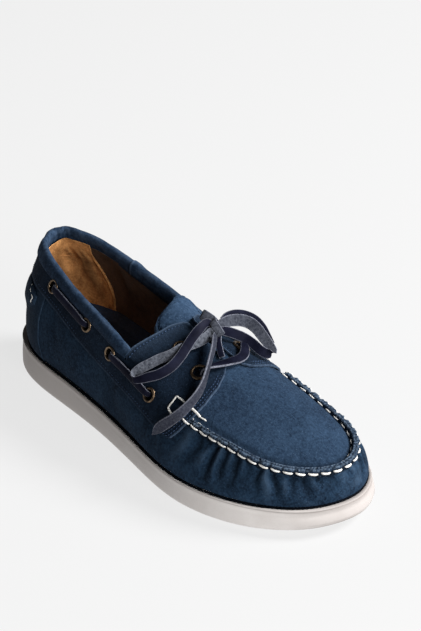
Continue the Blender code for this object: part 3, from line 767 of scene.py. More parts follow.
# bow: columns are place x, y, z, width direction x, y, z and share of the width
bow = {
    # row of the far strand, how far above and behind it the folded part lies, share of its width
    "medialFold": [(1, 3.0, 0.4, 0.22), (2, 4.3, 0.9, 0.42), (3, 4.9, 1.1, 0.55), (4, 4.9, 1.1, 0.56),
                   (5, 4.7, 1.1, 0.56), (6, 4.4, 1.0, 0.52), (7, 3.8, 0.8, 0.40), (8, 3.0, 0.4, 0.22)],
    "laceLoopLateral": [
        (172.6, 7.2, 81.6, -0.55, -0.05, 0.80, 0.80),
        (171.9, 4.9, 80.7, -0.60, -0.05, 0.78, 0.90),
        (172.5, 0.6, 79.2, -0.63, -0.06, 0.77, 1.0),
        (171.9, -4.2, 77.9, -0.63, -0.06, 0.77, 1.0),
        (169.9, -10.5, 76.6, -0.63, -0.06, 0.77, 1.0),
        (168.7, -17.1, 75.7, -0.63, -0.06, 0.77, 1.0),
        (166.3, -23.5, 72.8, -0.63, -0.06, 0.77, 1.0),
        (162.9, -28.3, 70.7, -0.63, -0.06, 0.77, 1.0),
        (160.0, -34.4, 67.9, -0.60, -0.02, 0.79, 1.0),
        (157.4, -39.6, 65.3, -0.56, 0.05, 0.80, 1.0),
        (155.9, -43.6, 62.1, -0.52, 0.10, 0.82, 0.84),
        (158.4, -45.7, 60.4, -0.49, 0.15, 0.82, 0.66),
        (161.9, -43.9, 61.4, -0.49, 0.15, 0.82, 0.78),
        (165.4, -40.8, 63.3, -0.49, 0.12, 0.82, 0.94),
        (170.6, -35.3, 66.0, -0.52, 0.05, 0.81, 1.0),
        (173.6, -28.0, 69.8, -0.60, -0.15, 0.72, 1.0),
        (173.4, -20.5, 74.2, -0.70, -0.32, 0.60, 1.0),
        (171.8, -13.7, 78.3, -0.745, -0.455, 0.477, 1.0),
        (170.2, -8.0, 81.4, -0.745, -0.455, 0.477, 1.0),
        (169.2, -3.1, 83.6, -0.70, -0.35, 0.58, 1.0),
        (168.0, 1.5, 85.0, -0.65, -0.25, 0.68, 0.92),
        (167.0, 5.6, 85.4, -0.60, -0.15, 0.75, 0.85),
        (168.4, 8.0, 84.6, -0.60, -0.10, 0.75, 0.75)],
    "laceLoopMedial": [
        (171.8, 11.6, 83.6, 0.38, -0.32, -0.87, 0.8),
        (171.6, 13.8, 83.8, 0.38, -0.32, -0.87, 0.95),
        (170.8, 18.8, 83.1, 0.38, -0.32, -0.87, 1.1),
        (171.3, 24.5, 82.1, 0.33, -0.45, -0.82, 1.2),
        (173.3, 29.7, 80.8, 0.15, -0.62, -0.76, 1.2),
        (176.8, 33.2, 79.0, -0.15, -0.76, -0.60, 1.2),
        (181.8, 34.2, 77.0, -0.38, -0.82, -0.40, 1.15),
        (188.0, 34.0, 74.0, -0.50, -0.82, -0.26, 1.1),
        (193.4, 34.4, 70.2, -0.45, -0.82, -0.35, 1.0),
        (196.0, 34.6, 66.6, -0.29, -0.80, -0.52, 1.0),
        (195.2, 31.6, 65.9, -0.15, -0.74, -0.62, 1.0),
        (191.7, 29.0, 67.6, -0.05, -0.68, -0.70, 1.0),
        (185.6, 27.8, 70.3, -0.05, -0.68, -0.70, 1.0),
        (180.3, 25.4, 72.9, 0.08, -0.60, -0.76, 1.0),
        (176.9, 20.2, 76.4, 0.20, -0.50, -0.82, 1.0),
        (175.0, 13.4, 80.2, 0.23, -0.46, -0.82, 0.95),
        (174.6, 11.0, 80.8, 0.23, -0.46, -0.82, 0.8)],
    "laceEndLong": [
        (175.6, 5.6, 81.0, 128.0, 0.60),
        (177.6, 3.2, 80.4, 128.0, 0.70),
        (182.0, -1.4, 78.1, 118.0, 0.80),
        (188.5, -9.5, 75.0, 112.0, 0.88),
        (193.7, -16.5, 71.8, 110.0, 0.92),
        (197.0, -21.8, 67.6, 118.0, 0.94),
        (199.7, -28.2, 63.8, 132.0, 0.96),
        (200.9, -34.8, 60.3, 142.0, 0.98),
        (200.7, -42.0, 56.2, 158.0, 1.02),
        (197.9, -47.6, 51.6, 164.0, 1.05),
        (193.0, -51.8, 46.2, 168.0, 1.08),
        (190.6, -53.0, 43.0, 170.0, 0.92),
        (188.8, -53.8, 40.6, 170.0, 0.52),
        (187.0, -54.6, 38.2, 170.0, 0.06)],
    "laceStrandMedial": [
        (160.8, 20.0, 74.5, 0.0, 0.66, 0.75, 0.50),
        (160.5, 16.8, 78.6, 0.0, 0.66, 0.75, 0.80),
        (160.0, 12.6, 83.0, 0.0, 0.66, 0.75, 1.0),
        (159.6, 9.4, 86.0, 0.0, 0.66, 0.75, 1.0),
        (160.2, 8.1, 87.7, 0.0, 0.66, 0.75, 1.0),
        (161.6, 8.1, 87.9, 0.0, 0.66, 0.75, 1.0),
        (164.0, 9.2, 86.8, 0.0, 0.66, 0.75, 1.0),
        (167.4, 10.6, 85.0, 0.0, 0.66, 0.75, 0.95),
        (170.6, 11.2, 82.2, 0.20, 0.75, 0.60, 0.85),
        (173.4, 9.8, 79.0, 0.40, 0.80, 0.40, 0.70),
        (176.2, 7.4, 76.6, 0.48, 0.80, 0.34, 0.64),
        (178.8, 5.6, 75.2, 0.48, 0.80, 0.34, 0.62),
        (181.9, 3.9, 73.8, 0.48, 0.80, 0.34, 0.62),
        (184.9, 2.2, 72.6, 0.48, 0.80, 0.34, 0.62),
        (187.4, 1.0, 71.8, 0.48, 0.80, 0.34, 0.60)],
}
knot = {"centre": (172.1, 10.2, 82.0), "axis": (0.30, 0.80, 0.50), "deep": 3.2, "tall": 4.9, "share": 0.76,
        "steps": 16, "start": -0.5 * math.pi + 0.12, "grow": 0.10, "slant": 1.2}


def buildKnot():
    # one turn of the lace wound over the crossing
    axis = unit(np.array(knot["axis"]))
    front = squared(np.array(laceSize["front"]), axis)
    rise = np.cross(axis, front)
    rows = []
    for k in range(knot["steps"] + 1):
        share = k / knot["steps"]
        angle = knot["start"] + 2.0 * math.pi * share
        grow = 1.0 + knot["grow"] * share
        spot = (np.array(knot["centre"]) + rise * knot["tall"] * math.cos(angle) * grow
                + front * knot["deep"] * math.sin(angle) * grow + axis * (share - 0.5) * knot["slant"])
        rows.append((*spot, *axis, knot["share"]))
    piece = laceStrip("laceKnot", rows, cup=-0.3, pale=0.7)[0]
    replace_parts(piece, "lace_knot")
    return piece


def buildLoopFold():
    # upper edge of the inner loop's far strand, folded over to show its grain side
    rows = []
    for k, high, behind, share in bow["medialFold"]:
        row = np.array(bow["laceLoopMedial"][k])
        wide = unit(row[3:6])
        rows.append((*(row[:3] - wide * high - np.array(laceSize["front"]) * behind), *(-wide), share))
    return laceStrip("laceLoopFold", rows, cup=0.4)[0]


def tieLace(name, nodes, farEnd, lay, together=(), **looks):
    piece, path = laceStrip(name, bow[name], **looks)
    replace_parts(piece, *nodes)


knotPiece = buildKnot()
tieLace("laceLoopLateral", ["lace_loop_lateral"], "object", "loose", cup=0.35)
# pale below 1: painted shade on the flesh side of the inner loop and of the long end
tieLace("laceLoopMedial", ["lace_loop_medial"], "object", "loose", [buildLoopFold()], cup=0.1, pale=0.55)
tieLace("laceEndLong", ["lace_end_long"], "bare", "hanging", cup=0.15, pale=0.32)
tieLace("laceStrandMedial", ["lace_strand_medial", "lace_end_short"], "bare", "loose", [knotPiece], cup=0.2,
        rubbed=(0.6, 79.0, 86.0))
print("bow")

# eyelets: ring position and height up the form
eyelets = {
    "turns": 28, "frontGrow": 1.2, "proud": 0.15, "wall": 0.22,
    "places": {
        "eyelet_lateral_1": (0.232, 0.886), "eyelet_lateral_2": (0.340, 0.852),
        "eyelet_lateral_3": (0.412, 0.812), "eyelet_lateral_4": (0.526, 0.870),
        "eyelet_lateral_5": (0.558, 1.520), "eyelet_lateral_6": (0.491, 1.573),
        "eyelet_medial_1": (1.768, 0.886), "eyelet_medial_2": (1.660, 0.852),
        "eyelet_medial_3": (1.588, 0.805), "eyelet_medial_4": (1.485, 0.870),
        "eyelet_medial_5": (1.458, 1.476), "eyelet_medial_6": (1.518, 1.570)},
    # ring section from inside the barrel over the rolled lip: radius, height
    "section": [(3.35, -2.6), (3.35, 0.1), (3.45, 0.55), (3.75, 0.85), (4.15, 0.92), (4.55, 0.75), (4.85, 0.4),
                (4.95, 0.0), (4.7, -0.15)],
}


def buildEyelet():
    # one rolled ring: a circle pulled up through the barrel and out over the lip
    bpy.ops.object.select_all(action="DESELECT")
    last = eyelets["section"][0]
    bpy.ops.mesh.primitive_circle_add(vertices=eyelets["turns"], radius=last[0] * 0.001,
                                      location=(0.0, 0.0, 0.0), fill_type="NOTHING")
    ring = bpy.context.object
    ring.data.transform(Matrix.Translation((0.0, 0.0, last[1] * 0.001)))
    bpy.ops.object.mode_set(mode="EDIT")
    bpy.ops.mesh.select_all(action="SELECT")
    for radius, high in eyelets["section"][1:]:
        bpy.ops.mesh.extrude_region_move(TRANSFORM_OT_translate={"value": (0.0, 0.0, (high - last[1]) * 0.001)})
        grow = radius / last[0]
        bpy.ops.transform.resize(value=(grow, grow, 1.0), center_override=(0.0, 0.0, 0.0))
        last = (radius, high)
    bpy.ops.object.mode_set(mode="OBJECT")
    turnOutward(ring)
    applyModifier(ring, "SOLIDIFY", thickness=eyelets["wall"] * 0.001, offset=-1.0)
    return ring


def setEyelets():
    model = buildEyelet()
    for name, (t, v) in eyelets["places"].items():
        grow = eyelets["frontGrow"] if name.endswith("_5") else 1.0
        place = frameMatrix(*laceFrame(t, v, overlayTop + eyelets["proud"]), (grow, grow, 1.0))
        ring = joinCopies(name.replace("_", "."), model, [place])
        finishPiece(ring, antiqueBrass, [name], sharp=70.0)
    bpy.data.objects.remove(model, do_unlink=True)


setEyelets()
print("eyelets")

# lace outside the band: share of the way between two holes, height, share of the lace's width
sideMarks = [(-0.008, -3.0, 0.45), (0.0, 0.2, 0.50), (0.035, 1.9, 0.60), (0.09, 2.4, 0.70), (0.18, 2.3, 0.78),
             (0.34, 2.0, 0.80), (0.5, 1.9, 0.80), (0.66, 2.0, 0.80), (0.82, 2.3, 0.78), (0.91, 2.4, 0.70),
             (0.965, 1.9, 0.60), (1.0, 0.2, 0.50), (1.008, -3.0, 0.45)]


def sideStrip(side, end, firstHole, secondHole):
    first, second = (np.array(eyelets["places"]["eyelet_%s_%d" % (side, hole)]) for hole in (firstHole, secondHole))
    rows = []
    for share, height, wide in sideMarks:
        spot, along, up, out = laceFrame(*(first + (second - first) * share), overlayTop + height - 0.6)
        rows.append((*spot, *up, wide))
    piece = laceStrip("laceSide%s%s" % (side.title(), end.title()), rows, cup=0.45)[0]
    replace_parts(piece, "lace_side_%s_%s" % (side, end))


sideStrip("lateral", "rear", 1, 2)
sideStrip("lateral", "front", 3, 4)
sideStrip("medial", "rear", 2, 1)
sideStrip("medial", "front", 4, 3)
barRows = [
    (181.6, 25.6, 66.5, 1.0, 1.9, -0.9, 0.50),
    (180.9, 24.6, 69.4, 1.0, 1.7, -0.8, 0.62),
    (183.8, 22.4, 71.2, 1.0, 1.4, -0.6, 0.80),
    (188.2, 19.0, 71.3, 1.0, 1.0, -0.5, 0.95),
    (192.6, 14.4, 70.9, 1.0, 0.5, -0.4, 1.0),
    (194.2, 8.8, 70.7, 1.0, 0.1, -0.3, 1.0),
    (193.2, 2.6, 70.8, 1.0, -0.3, -0.1, 1.0),
    (191.6, -3.5, 70.7, 1.0, -0.6, 0.1, 1.0),
    (189.9, -9.2, 70.7, 1.0, -0.8, 0.3, 0.95),
    (188.2, -12.6, 70.3, 1.0, -0.9, 0.4, 0.80),
    (187.2, -15.0, 68.6, 1.0, -0.9, 0.4, 0.5),
    (186.9, -15.9, 65.8, 1.0, -0.9, 0.4, 0.3)]
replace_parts(laceStrip("laceBarFront", barRows, cup=0.3)[0], "lace_bar_front")
print("side laces and bar")

# upper: walls below the seam, with the folds that the gathering leaves
# folds: station and height of the top, then of the foot, width, depth (a ridge is below zero)
vamp = {
    "fromStation": 0.19, "columns": 620, "rows": 44, "seamFrom": 0.46, "seamTo": 0.53,
    "pitchToe": 7.2, "pitchMedial": 8.4, "pucker": 0.8, "holeRadius": 4.6,
    "folds": [
        (0.703, 1.02, 0.696, 0.20, 5.5, 2.6), (0.667, 1.02, 0.690, 0.86, 7.0, 2.0),
        (0.664, 0.96, 0.652, 0.38, 6.0, 1.3), (0.645, 1.00, 0.612, 0.22, 9.0, -0.8),
        (0.688, 0.90, 0.682, 0.40, 6.0, -0.7), (0.716, 1.00, 0.708, 0.30, 5.0, -0.9),
        (0.729, 0.97, 0.720, 0.26, 4.5, 1.5), (0.741, 1.00, 0.736, 0.34, 5.0, -0.7),
        (0.754, 1.02, 0.750, 0.24, 5.0, 1.9), (0.768, 0.98, 0.765, 0.40, 5.0, -0.6),
        (0.780, 0.98, 0.777, 0.46, 4.5, 0.9), (0.806, 1.02, 0.804, 0.26, 5.0, 1.9),
        (0.823, 1.00, 0.826, 0.30, 7.0, -1.1), (0.838, 1.02, 0.847, 0.18, 4.5, 1.8),
        (0.856, 0.98, 0.862, 0.40, 5.0, -0.6), (0.872, 0.96, 0.878, 0.44, 4.0, 0.9),
        (0.891, 1.00, 0.916, 0.24, 5.5, 1.3), (0.912, 0.98, 0.936, 0.40, 6.0, -0.6),
        (0.930, 0.96, 0.944, 0.58, 4.0, 0.7), (0.962, 0.94, 0.954, 0.50, 6.0, 0.8),
        (0.992, 0.96, 0.992, 0.55, 6.0, -0.4), (1.020, 0.96, 1.024, 0.50, 5.5, 0.8),
        (1.048, 1.00, 1.043, 0.35, 6.0, 1.0), (1.080, 1.02, 1.074, 0.28, 5.5, 1.5),
        (1.098, 1.00, 1.092, 0.35, 6.5, -0.7), (1.118, 1.02, 1.114, 0.22, 5.0, 1.7),
        (1.152, 1.02, 1.150, 0.30, 5.0, 1.4), (1.172, 1.00, 1.176, 0.35, 7.0, -0.8),
        (1.190, 1.02, 1.196, 0.24, 5.0, 1.8), (1.226, 1.00, 1.228, 0.36, 5.0, 1.2),
        (1.252, 1.02, 1.258, 0.24, 5.0, 1.7), (1.274, 1.00, 1.282, 0.32, 7.0, -0.8),
        (1.298, 1.02, 1.306, 0.26, 5.5, 1.8), (1.334, 1.00, 1.348, 0.34, 6.0, 1.2),
        (1.365, 1.00, 1.392, 0.26, 9.0, -1.0)],
    # long shallow bends along the side
    "sideBends": [(0.255, 0.62, 0.262, 0.12, 14.0, 0.7), (0.335, 0.55, 0.322, 0.10, 18.0, -0.6),
                  (0.420, 0.50, 0.432, 0.08, 16.0, 0.7), (0.500, 0.50, 0.486, 0.12, 15.0, -0.6),
                  (0.556, 0.50, 0.566, 0.16, 12.0, 0.8), (1.735, 0.60, 1.730, 0.10, 16.0, 0.7),
                  (1.640, 0.55, 1.652, 0.10, 18.0, -0.6), (1.560, 0.50, 1.548, 0.10, 16.0, 0.7),
                  (1.450, 0.50, 1.442, 0.14, 12.0, 0.8)],
}
seam = {"lateralEnd": 0.612, "medialEnd": 1.392}


def seamMarks():
    # stitch centres along the seam as ring positions, closer round the toe than on the inner side
    t = np.linspace(seam["lateralEnd"], seam["medialEnd"], 900)
    step = np.linalg.norm(np.diff(topLoop(t), axis=0), axis=1)
    middle = 0.5 * (t[1:] + t[:-1])
    pitch = vamp["pitchToe"] + (vamp["pitchMedial"] - vamp["pitchToe"]) * smoothStep(middle, 1.05, 1.2)
    run = np.concatenate([[0.0], np.cumsum(step / pitch)])
    count = int(round(run[-1]))
    return np.interp((np.arange(count) + 0.5) * run[-1] / count, run, t)


stitchMarks = seamMarks()
gatherMarks = 0.5 * (stitchMarks[1:] + stitchMarks[:-1])


def ringSpeed(t):
    # millimetres along the wall for one unit of ring position
    return np.linalg.norm(form(t + 0.002, np.full(t.shape, 0.8)) - form(t - 0.002, np.full(t.shape, 0.8)),
                          axis=-1) / 0.004


def gathers(t, speed, wide, base=1.0, sway=0.0, turn=1.0):
    # a bump at each gather between two stitches
    total = np.zeros(t.shape)
    for k, mark in enumerate(gatherMarks):
        total += (base + sway * math.sin(k * turn)) * bell((t - mark) * speed, 0.0, wide)
    return total


def foldRelief(t, v, folds):
    relief = np.zeros(t.shape)
    tone = np.zeros(t.shape)
    speed = ringSpeed(t)
    for topT, topV, footT, footV, wide, deep in folds:
        share = (topV - v) / (topV - footV)
        centre = topT + (footT - topT) * np.clip(share, -0.3, 1.4)
        sway = 0.9 * np.sin(share * 5.3 + topT * 61.0) + 0.5 * np.sin(share * 11.0 + topT * 97.0)
        away = ((t - centre) * speed + sway) / (0.46 * wide * (0.75 + 0.7 * np.clip(share, 0.0, 1.0)))
        along = smoothStep(share, -0.25, 0.05) * (1.0 - smoothStep(share, 0.40, 1.25))
        shape = (0.75 * np.exp(-away * away) + 0.25 * np.exp(-np.abs(away) * 1.6)) * along
        relief -= deep * shape
        # tone: painted shade along each trough, painted highlight along each ridge
        tone -= np.sign(deep) * min(abs(deep) / 1.6, 1.0) * shape
    return relief, tone


def nearEyelet(points, lift, reach):
    near = np.zeros(len(points), bool)
    for station, high in eyelets["places"].values():
        near |= np.linalg.norm(points - laceFrame(station, high, lift)[0], axis=-1) < reach
    return near


def allCorners(piece, marked):
    return [all(marked[k] for k in face.vertices) for face in piece.data.polygons]


def vampColumns(share):
    # more columns round the toe, where the folds are
    knots = np.array([0.0, 0.14, 0.5, 0.86, 1.0])
    ring = np.array([vamp["fromStation"], 0.60, 1.0, 1.40, 2.0 - vamp["fromStation"]])
    return np.interp(share, knots, ring)


def buildVamp():
    piece, across, up = newGrid("vampWall", vamp["columns"], vamp["rows"])
    t = vampColumns(across)
    w = fromHeel(t)
    top = bandTop + (1.0 - bandTop) * smoothStep(w, vamp["seamFrom"], vamp["seamTo"])
    v = denseEnds(up, 0.45) * top
    relief, tone = foldRelief(t, v, vamp["folds"])
    side, sideTone = foldRelief(t, v, vamp["sideBends"])
    pucker = gathers(t, ringSpeed(t), 1.9, 0.8, 0.4, 2.3) * smoothStep(v, 0.80, 0.98)
    relief = (relief - vamp["pucker"] * pucker + side) * smoothStep(v, 0.02, 0.20)
    spots = form(t, v)
    toeWall = smoothStep(w, 0.62, 0.72)
    relief += fineNoise(spots, 26.0, 3.0) * 0.5 * smoothStep(v, 0.0, 0.3) + fineNoise(spots, 8.0, 9.0) * 0.14
    relief += fineNoise(spots * (1.0, 1.0, 0.45), 7.0, 13.0) * 0.45 * toeWall * smoothStep(v, 0.1, 0.5)
    relief -= 1.3 * fall(v, 0.0, 0.07)
    # under the band and the counter the wall stays low
    hidden = smoothStep(w, 0.58, 0.63)
    relief = np.where(v > 0.55, relief * hidden + np.minimum(relief, 0.3) * (1.0 - hidden), relief)
    relief = np.where(w < 0.56, np.maximum(relief, -0.7 - 0.8 * (v < 0.1)), relief)
    writePoints(piece, spots + formNormal(t, v) * relief[:, None])
    # painted light and shade: a painted highlight on the toe's right end, painted shade on the side wall towards the
    # heel and along the foot, the folds' painted shade and highlights, and a random cloudy tone round the toe
    rubbed = bell(t, 1.045, 0.030) * smoothStep(v, 0.15, 0.4) * fall(v, 0.85, 1.0)
    cloudAndSideShade = fineNoise(spots, 16.0, 41.0) * 0.5 * toeWall - 0.45 * fall(w, 0.50, 0.66)
    setMask(piece, "shadeAndHighlight", np.clip(tone + 0.4 * sideTone + 0.9 * rubbed + cloudAndSideShade
                                   - 0.9 * fall(v, 0.0, 0.10), -1.0, 1.0))
    setMask(piece, "edge", np.zeros(len(t)))
    deleteFaces(piece, allCorners(piece, nearEyelet(softLifted(t, v, overlayTop), overlayTop, vamp["holeRadius"])))
    thicken(piece, wallThick)
    finishPiece(piece, suedeWall, ["upper"])


buildVamp()
print("vamp wall")

# plug: the top panel inside the seam
plug = {"columns": 420, "rows": 46, "fromStation": 0.50, "holeRadius": 4.2,
        "lumps": [(34.0, 5.0, 0.55), (11.0, 7.0, 0.16)], "groove": 0.9, "pucker": 0.35}


def buildPlug():
    piece, across, up = newGrid("plugPanel", plug["columns"], plug["rows"])
    t = plug["fromStation"] + across * (2.0 - 2.0 * plug["fromStation"])
    v = 1.0 + (up * 0.6 + 0.4 * up * up)
    spots = form(t, v)
    relief = lumps(spots, plug["lumps"]) * smoothStep(v, 1.02, 1.3)
    relief -= plug["groove"] * bell(v, 1.07, 0.05)
    relief -= plug["pucker"] * gathers(t, ringSpeed(t), 2.2) * fall(v, 1.0, 1.16)
    writePoints(piece, spots + formNormal(t, v) * relief[:, None])
    # painted shade along the groove just inside the seam
    setMask(piece, "shadeAndHighlight", -0.5 * bell(v, 1.06, 0.05))
    setMask(piece, "edge", np.zeros(len(t)))
    weld(piece)
    deleteFaces(piece, nearEyelet(faceCentres(piece), 0.0, plug["holeRadius"]))
    thicken(piece, wallThick)
    finishPiece(piece, suedePlug)


buildPlug()
print("plug panel")

# standing seam: the gathered edge of the wall outside, the edge of the plug inside, a slot between
ridge = {
    "columns": 1400,
    "lumps": [(5.0, 11.0, 0.55), (2.2, 17.0, 0.4)], "endGap": 0.002, "fuzz": 0.42,
    # across the seam (out is positive), up from it, how much it follows the gathers, tone (painted shade down the
    # sides and into the slot, a painted highlight on the top), edge
    "profile": [(2.7, -2.0, 0.0, -1.0, 0.0), (2.25, -0.8, 0.3, -0.9, 0.0), (2.05, 0.4, 0.7, -0.7, 0.0),
                (2.15, 1.4, 1.0, -0.4, 0.0), (2.15, 2.3, 1.0, -0.2, 0.0), (1.95, 3.0, 1.0, 0.0, 0.2),
                (1.5, 3.5, 1.0, 0.1, 0.6), (0.9, 3.65, 0.9, 0.1, 0.8), (0.35, 3.45, 0.7, -0.2, 0.5),
                (0.0, 3.2, 0.5, -0.5, 0.2), (-0.4, 3.3, 0.3, -0.2, 0.5), (-0.9, 3.45, 0.3, 0.1, 0.8),
                (-1.4, 3.2, 0.3, 0.0, 0.7), (-1.75, 2.6, 0.3, -0.2, 0.3), (-1.9, 1.8, 0.2, -0.6, 0.0),
                (-1.95, 0.9, 0.1, -1.0, 0.0), (-2.1, 0.1, 0.0, -1.0, 0.0),
                (-2.5, -1.5, 0.0, -1.0, 0.0), (0.0, -2.6, 0.0, -1.0, 0.0)],
}


def seamFrame(t):
    up = formNormal(t, np.full(t.shape, 0.93)) * 0.25 + formNormal(t, np.full(t.shape, 1.12)) + (0.0, 0.0, 0.9)
    return topFrame(t, up)


def buildSeam():
    profile = np.array(ridge["profile"])
    count = len(profile)
    piece, across, up = newGrid("seamRidge", ridge["columns"], count)
    first, last = seam["lateralEnd"] + ridge["endGap"], seam["medialEnd"] - ridge["endGap"]
    t = first + across * (last - first)
    k = np.round(up * count).astype(int) % count
    spot, along, out, rise = seamFrame(t)
    speed = np.linalg.norm(topLoop(t + 0.002) - topLoop(t - 0.002), axis=-1) / 0.004
    pinch = gathers(t, speed, 1.5, 0.8, 0.3, 1.9)
    a, b, follow, tone, edge = profile[k].T
    ends = smoothStep(across, 0.0, 0.03) * fall(across, 0.985, 1.0)
    tall = 0.78 + 0.22 * smoothStep(t, 0.62, 0.74) - 0.30 * smoothStep(t, 1.12, 1.30)
    wave = lumps(spot, ridge["lumps"])
    outer = np.where(a > 0.3, 1.0, 0.0)
    startShade = 0.75 * fall(t, 0.66, 0.84)
    a = a + outer * follow * (0.25 - 0.85 * pinch) + follow * wave * 0.5
    b = b + follow * (0.25 * outer - 1.15 * pinch * outer - 0.3 * pinch * (1.0 - outer) + wave * 0.6)
    b = np.where(b > -1.0, -1.0 + (b + 1.0) * (0.3 + 0.7 * ends) * tall, b)
    points = spot + out * a[:, None] + rise * b[:, None]
    writePoints(piece, points + (rise + out) * (fineNoise(points, 1.3, 23.0) * ridge["fuzz"] * (b > 0.5))[:, None])
    # painted shade: from the profile's tone, darker in the pinches between gathers and on the seam's first stretch
    setMask(piece, "shadeAndHighlight", np.clip(tone - 0.8 * pinch * outer - startShade, -1.0, 1.0))
    setMask(piece, "edge", edge * np.clip(0.5 + 1.6 * fineNoise(points, 1.1, 51.0), 0.0, 1.0))
    closeEnds(piece)
    finishPiece(piece, suedeRidge, sharp=75.0)


buildSeam()
print("seam ridge")

# thread: length and thickness of the stitches on both sides of the seam, and of the fine sewing
thread = {"long": 6.3, "thick": 1.6, "out": 2.75, "up": 1.35, "lean": 0.16, "innerLong": 5.4, "innerThick": 1.0,
          "innerOut": 2.15, "innerUp": 0.45, "fineLong": 1.5, "square": 0.28, "endDrop": 0.42}


def stitchModel(segments, rings):
    # a plump thread with its ends turned down into their holes
    bpy.ops.object.select_all(action="DESELECT")
    bpy.ops.mesh.primitive_uv_sphere_add(segments=segments, ring_count=rings, radius=0.5)
    model = bpy.context.object
    editMesh(model, lambda: bpy.ops.transform.rotate(value=math.pi / 2.0, orient_axis="Y",
                                                     center_override=(0.0, 0.0, 0.0)))
    spots = readPoints(model)
    x = spots[:, 0]
    full = np.sqrt(np.maximum(0.25 - x * x, 1e-6))
    # squarer than an egg along its length
    share = np.minimum(1.0, ((0.25 - x * x) / 0.25)) ** thread["square"] * 0.5
    spots[:, 1:] *= (share / full)[:, None]
    spots[:, 2] -= thread["endDrop"] * np.abs(2.0 * x) ** 3.0
    model.data.vertices.foreach_set("co", spots.ravel())
    model.data.update()
    return model


def threadRow(name, frames, long, thick, material, segments=8, rings=5):
    # frames: place, along, side, up and how thick
    model = stitchModel(segments, rings)
    row = joinCopies(name, model, [frameMatrix(*frame[:4], (long * 0.001, thick * frame[4] * 0.001,
                                                            thick * frame[4] * 0.001)) for frame in frames])
    bpy.data.objects.remove(model, do_unlink=True)
    finishPiece(row, material, sharp=80.0)


def tilted(along, side, angle):
    return along * math.cos(angle) + side * math.sin(angle), side * math.cos(angle) - along * math.sin(angle)


def sewSeam():
    outerFrames, innerFrames = [], []
    for k, (spot, along, out, rise) in enumerate(zip(*seamFrame(stitchMarks))):
        # along goes to the toe on the lateral side, so the stitch drops towards it
        ahead, drop = tilted(along, rise, -thread["lean"] - 0.05 * math.sin(k * 3.1))
        grow = 0.78 + 0.22 * float(smoothStep(stitchMarks[k], 0.72, 0.88))
        outerFrames.append((spot + out * thread["out"] + rise * thread["up"], ahead, -drop, out, grow))
        ahead, drop = tilted(along, rise, 0.06 * math.sin(k * 1.7))
        innerFrames.append((spot - out * thread["innerOut"] + rise * thread["innerUp"], ahead, drop, -out, 1.0))
    threadRow("seamStitchesOuter", outerFrames, thread["long"], thread["thick"], waxedThread, 10, 8)
    threadRow("seamStitchesInner", innerFrames, thread["innerLong"], thread["innerThick"], waxedThread, 10, 8)


sewSeam()
print("seam stitches")

# counter: the stiff piece round the heel; front is its edge's ring position at each height
counter = {"columns": 190, "rows": 36, "height": 0.7, "thick": 1.0, "corner": 0.25, "feather": 1.2,
           "lumps": [(30.0, 4.0, 0.35), (9.0, 6.0, 0.1)],
           "front": [(0.0, 0.226), (0.12, 0.221), (0.24, 0.213), (0.47, 0.211), (0.67, 0.215), (0.92, 0.222)]}


def buildCounter():
    piece, across, up = newGrid("heelCounter", counter["columns"], counter["rows"])
    v = denseEnds(up, 0.4) * bandTop
    reach = alongTable(counter["front"], 1, v)
    t = (across * 2.0 - 1.0) * reach
    spots = form(t, v)
    relief = counter["height"] - heelDraw(t) + lumps(spots, counter["lumps"])
    relief -= counter["feather"] * fall(v, 0.0, 0.08)
    writePoints(piece, spots + formNormal(t, v) * relief[:, None])
    rim = fall(np.minimum(across, 1.0 - across) * 2.0 * reach * 430.0, 0.2, 1.3)
    setMask(piece, "edge", rim * 0.28)
    # painted shade: the counter darker all over, darkest at its foot
    setMask(piece, "shadeAndHighlight", -0.8 - 0.2 * fall(v, 0.0, 0.10))
    thicken(piece, counter["thick"], counter["corner"])
    finishPiece(piece, suedeWall)


buildCounter()
print("heel counter")

# saddle: band below the collar that widens into a wing over the instep
saddle = {
    "bandColumns": 300, "wingColumns": 110, "bandRows": 22, "wingRows": 56, "bandFrom": 0.012, "wingFrom": 0.453,
    "split": 0.93, "holeRadius": 4.3, "thick": 1.25, "corner": 0.3, "lumps": [(24.0, 31.0, 0.3), (8.0, 37.0, 0.12)],
    "bandLow": [(0.0, 0.745), (0.03, 0.742), (0.13, 0.738), (0.214, 0.730), (0.259, 0.706), (0.290, 0.668),
                (0.320, 0.628), (0.352, 0.600), (0.390, 0.572), (0.439, 0.565), (0.497, 0.585), (0.540, 0.588),
                (0.565, 0.582), (0.65, 0.58)],
    # height up the form, front edge on the outer side, on the inner side
    "front": [(0.56, 0.560, 0.545), (0.575, 0.574, 0.560), (0.588, 0.590, 0.572), (0.602, 0.600, 0.580),
              (0.625, 0.605, 0.585), (0.787, 0.616, 0.592), (0.971, 0.625, 0.600), (1.10, 0.626, 0.603),
              (1.258, 0.623, 0.603), (1.538, 0.609, 0.602), (1.734, 0.590, 0.598), (1.841, 0.573, 0.590),
              (1.93, 0.560, 0.578)],
    "rear": [(0.93, 0.450), (1.05, 0.446), (1.25, 0.4455), (1.48, 0.443), (1.68, 0.438), (1.89, 0.438),
             (1.95, 0.443), (1.98, 0.452)],
    "top": [(0.0, 1.955), (0.12, 1.965), (0.6, 1.945), (1.0, 1.925)],
    "topSewing": [(0.456, 0.98), (0.4535, 1.15), (0.452, 1.40), (0.447, 1.62), (0.446, 1.80), (0.453, 1.885),
                  (0.468, 1.90), (0.490, 1.90), (0.52, 1.885), (0.548, 1.87)],
}


def wingEdge(v, medial):
    return alongTable(saddle["front"], 2 if medial else 1, v)


def mirrored(line, medial):
    # a line of ring positions and heights, for the side that it is on
    return [(2.0 - w, *rest) for w, *rest in line] if medial else line


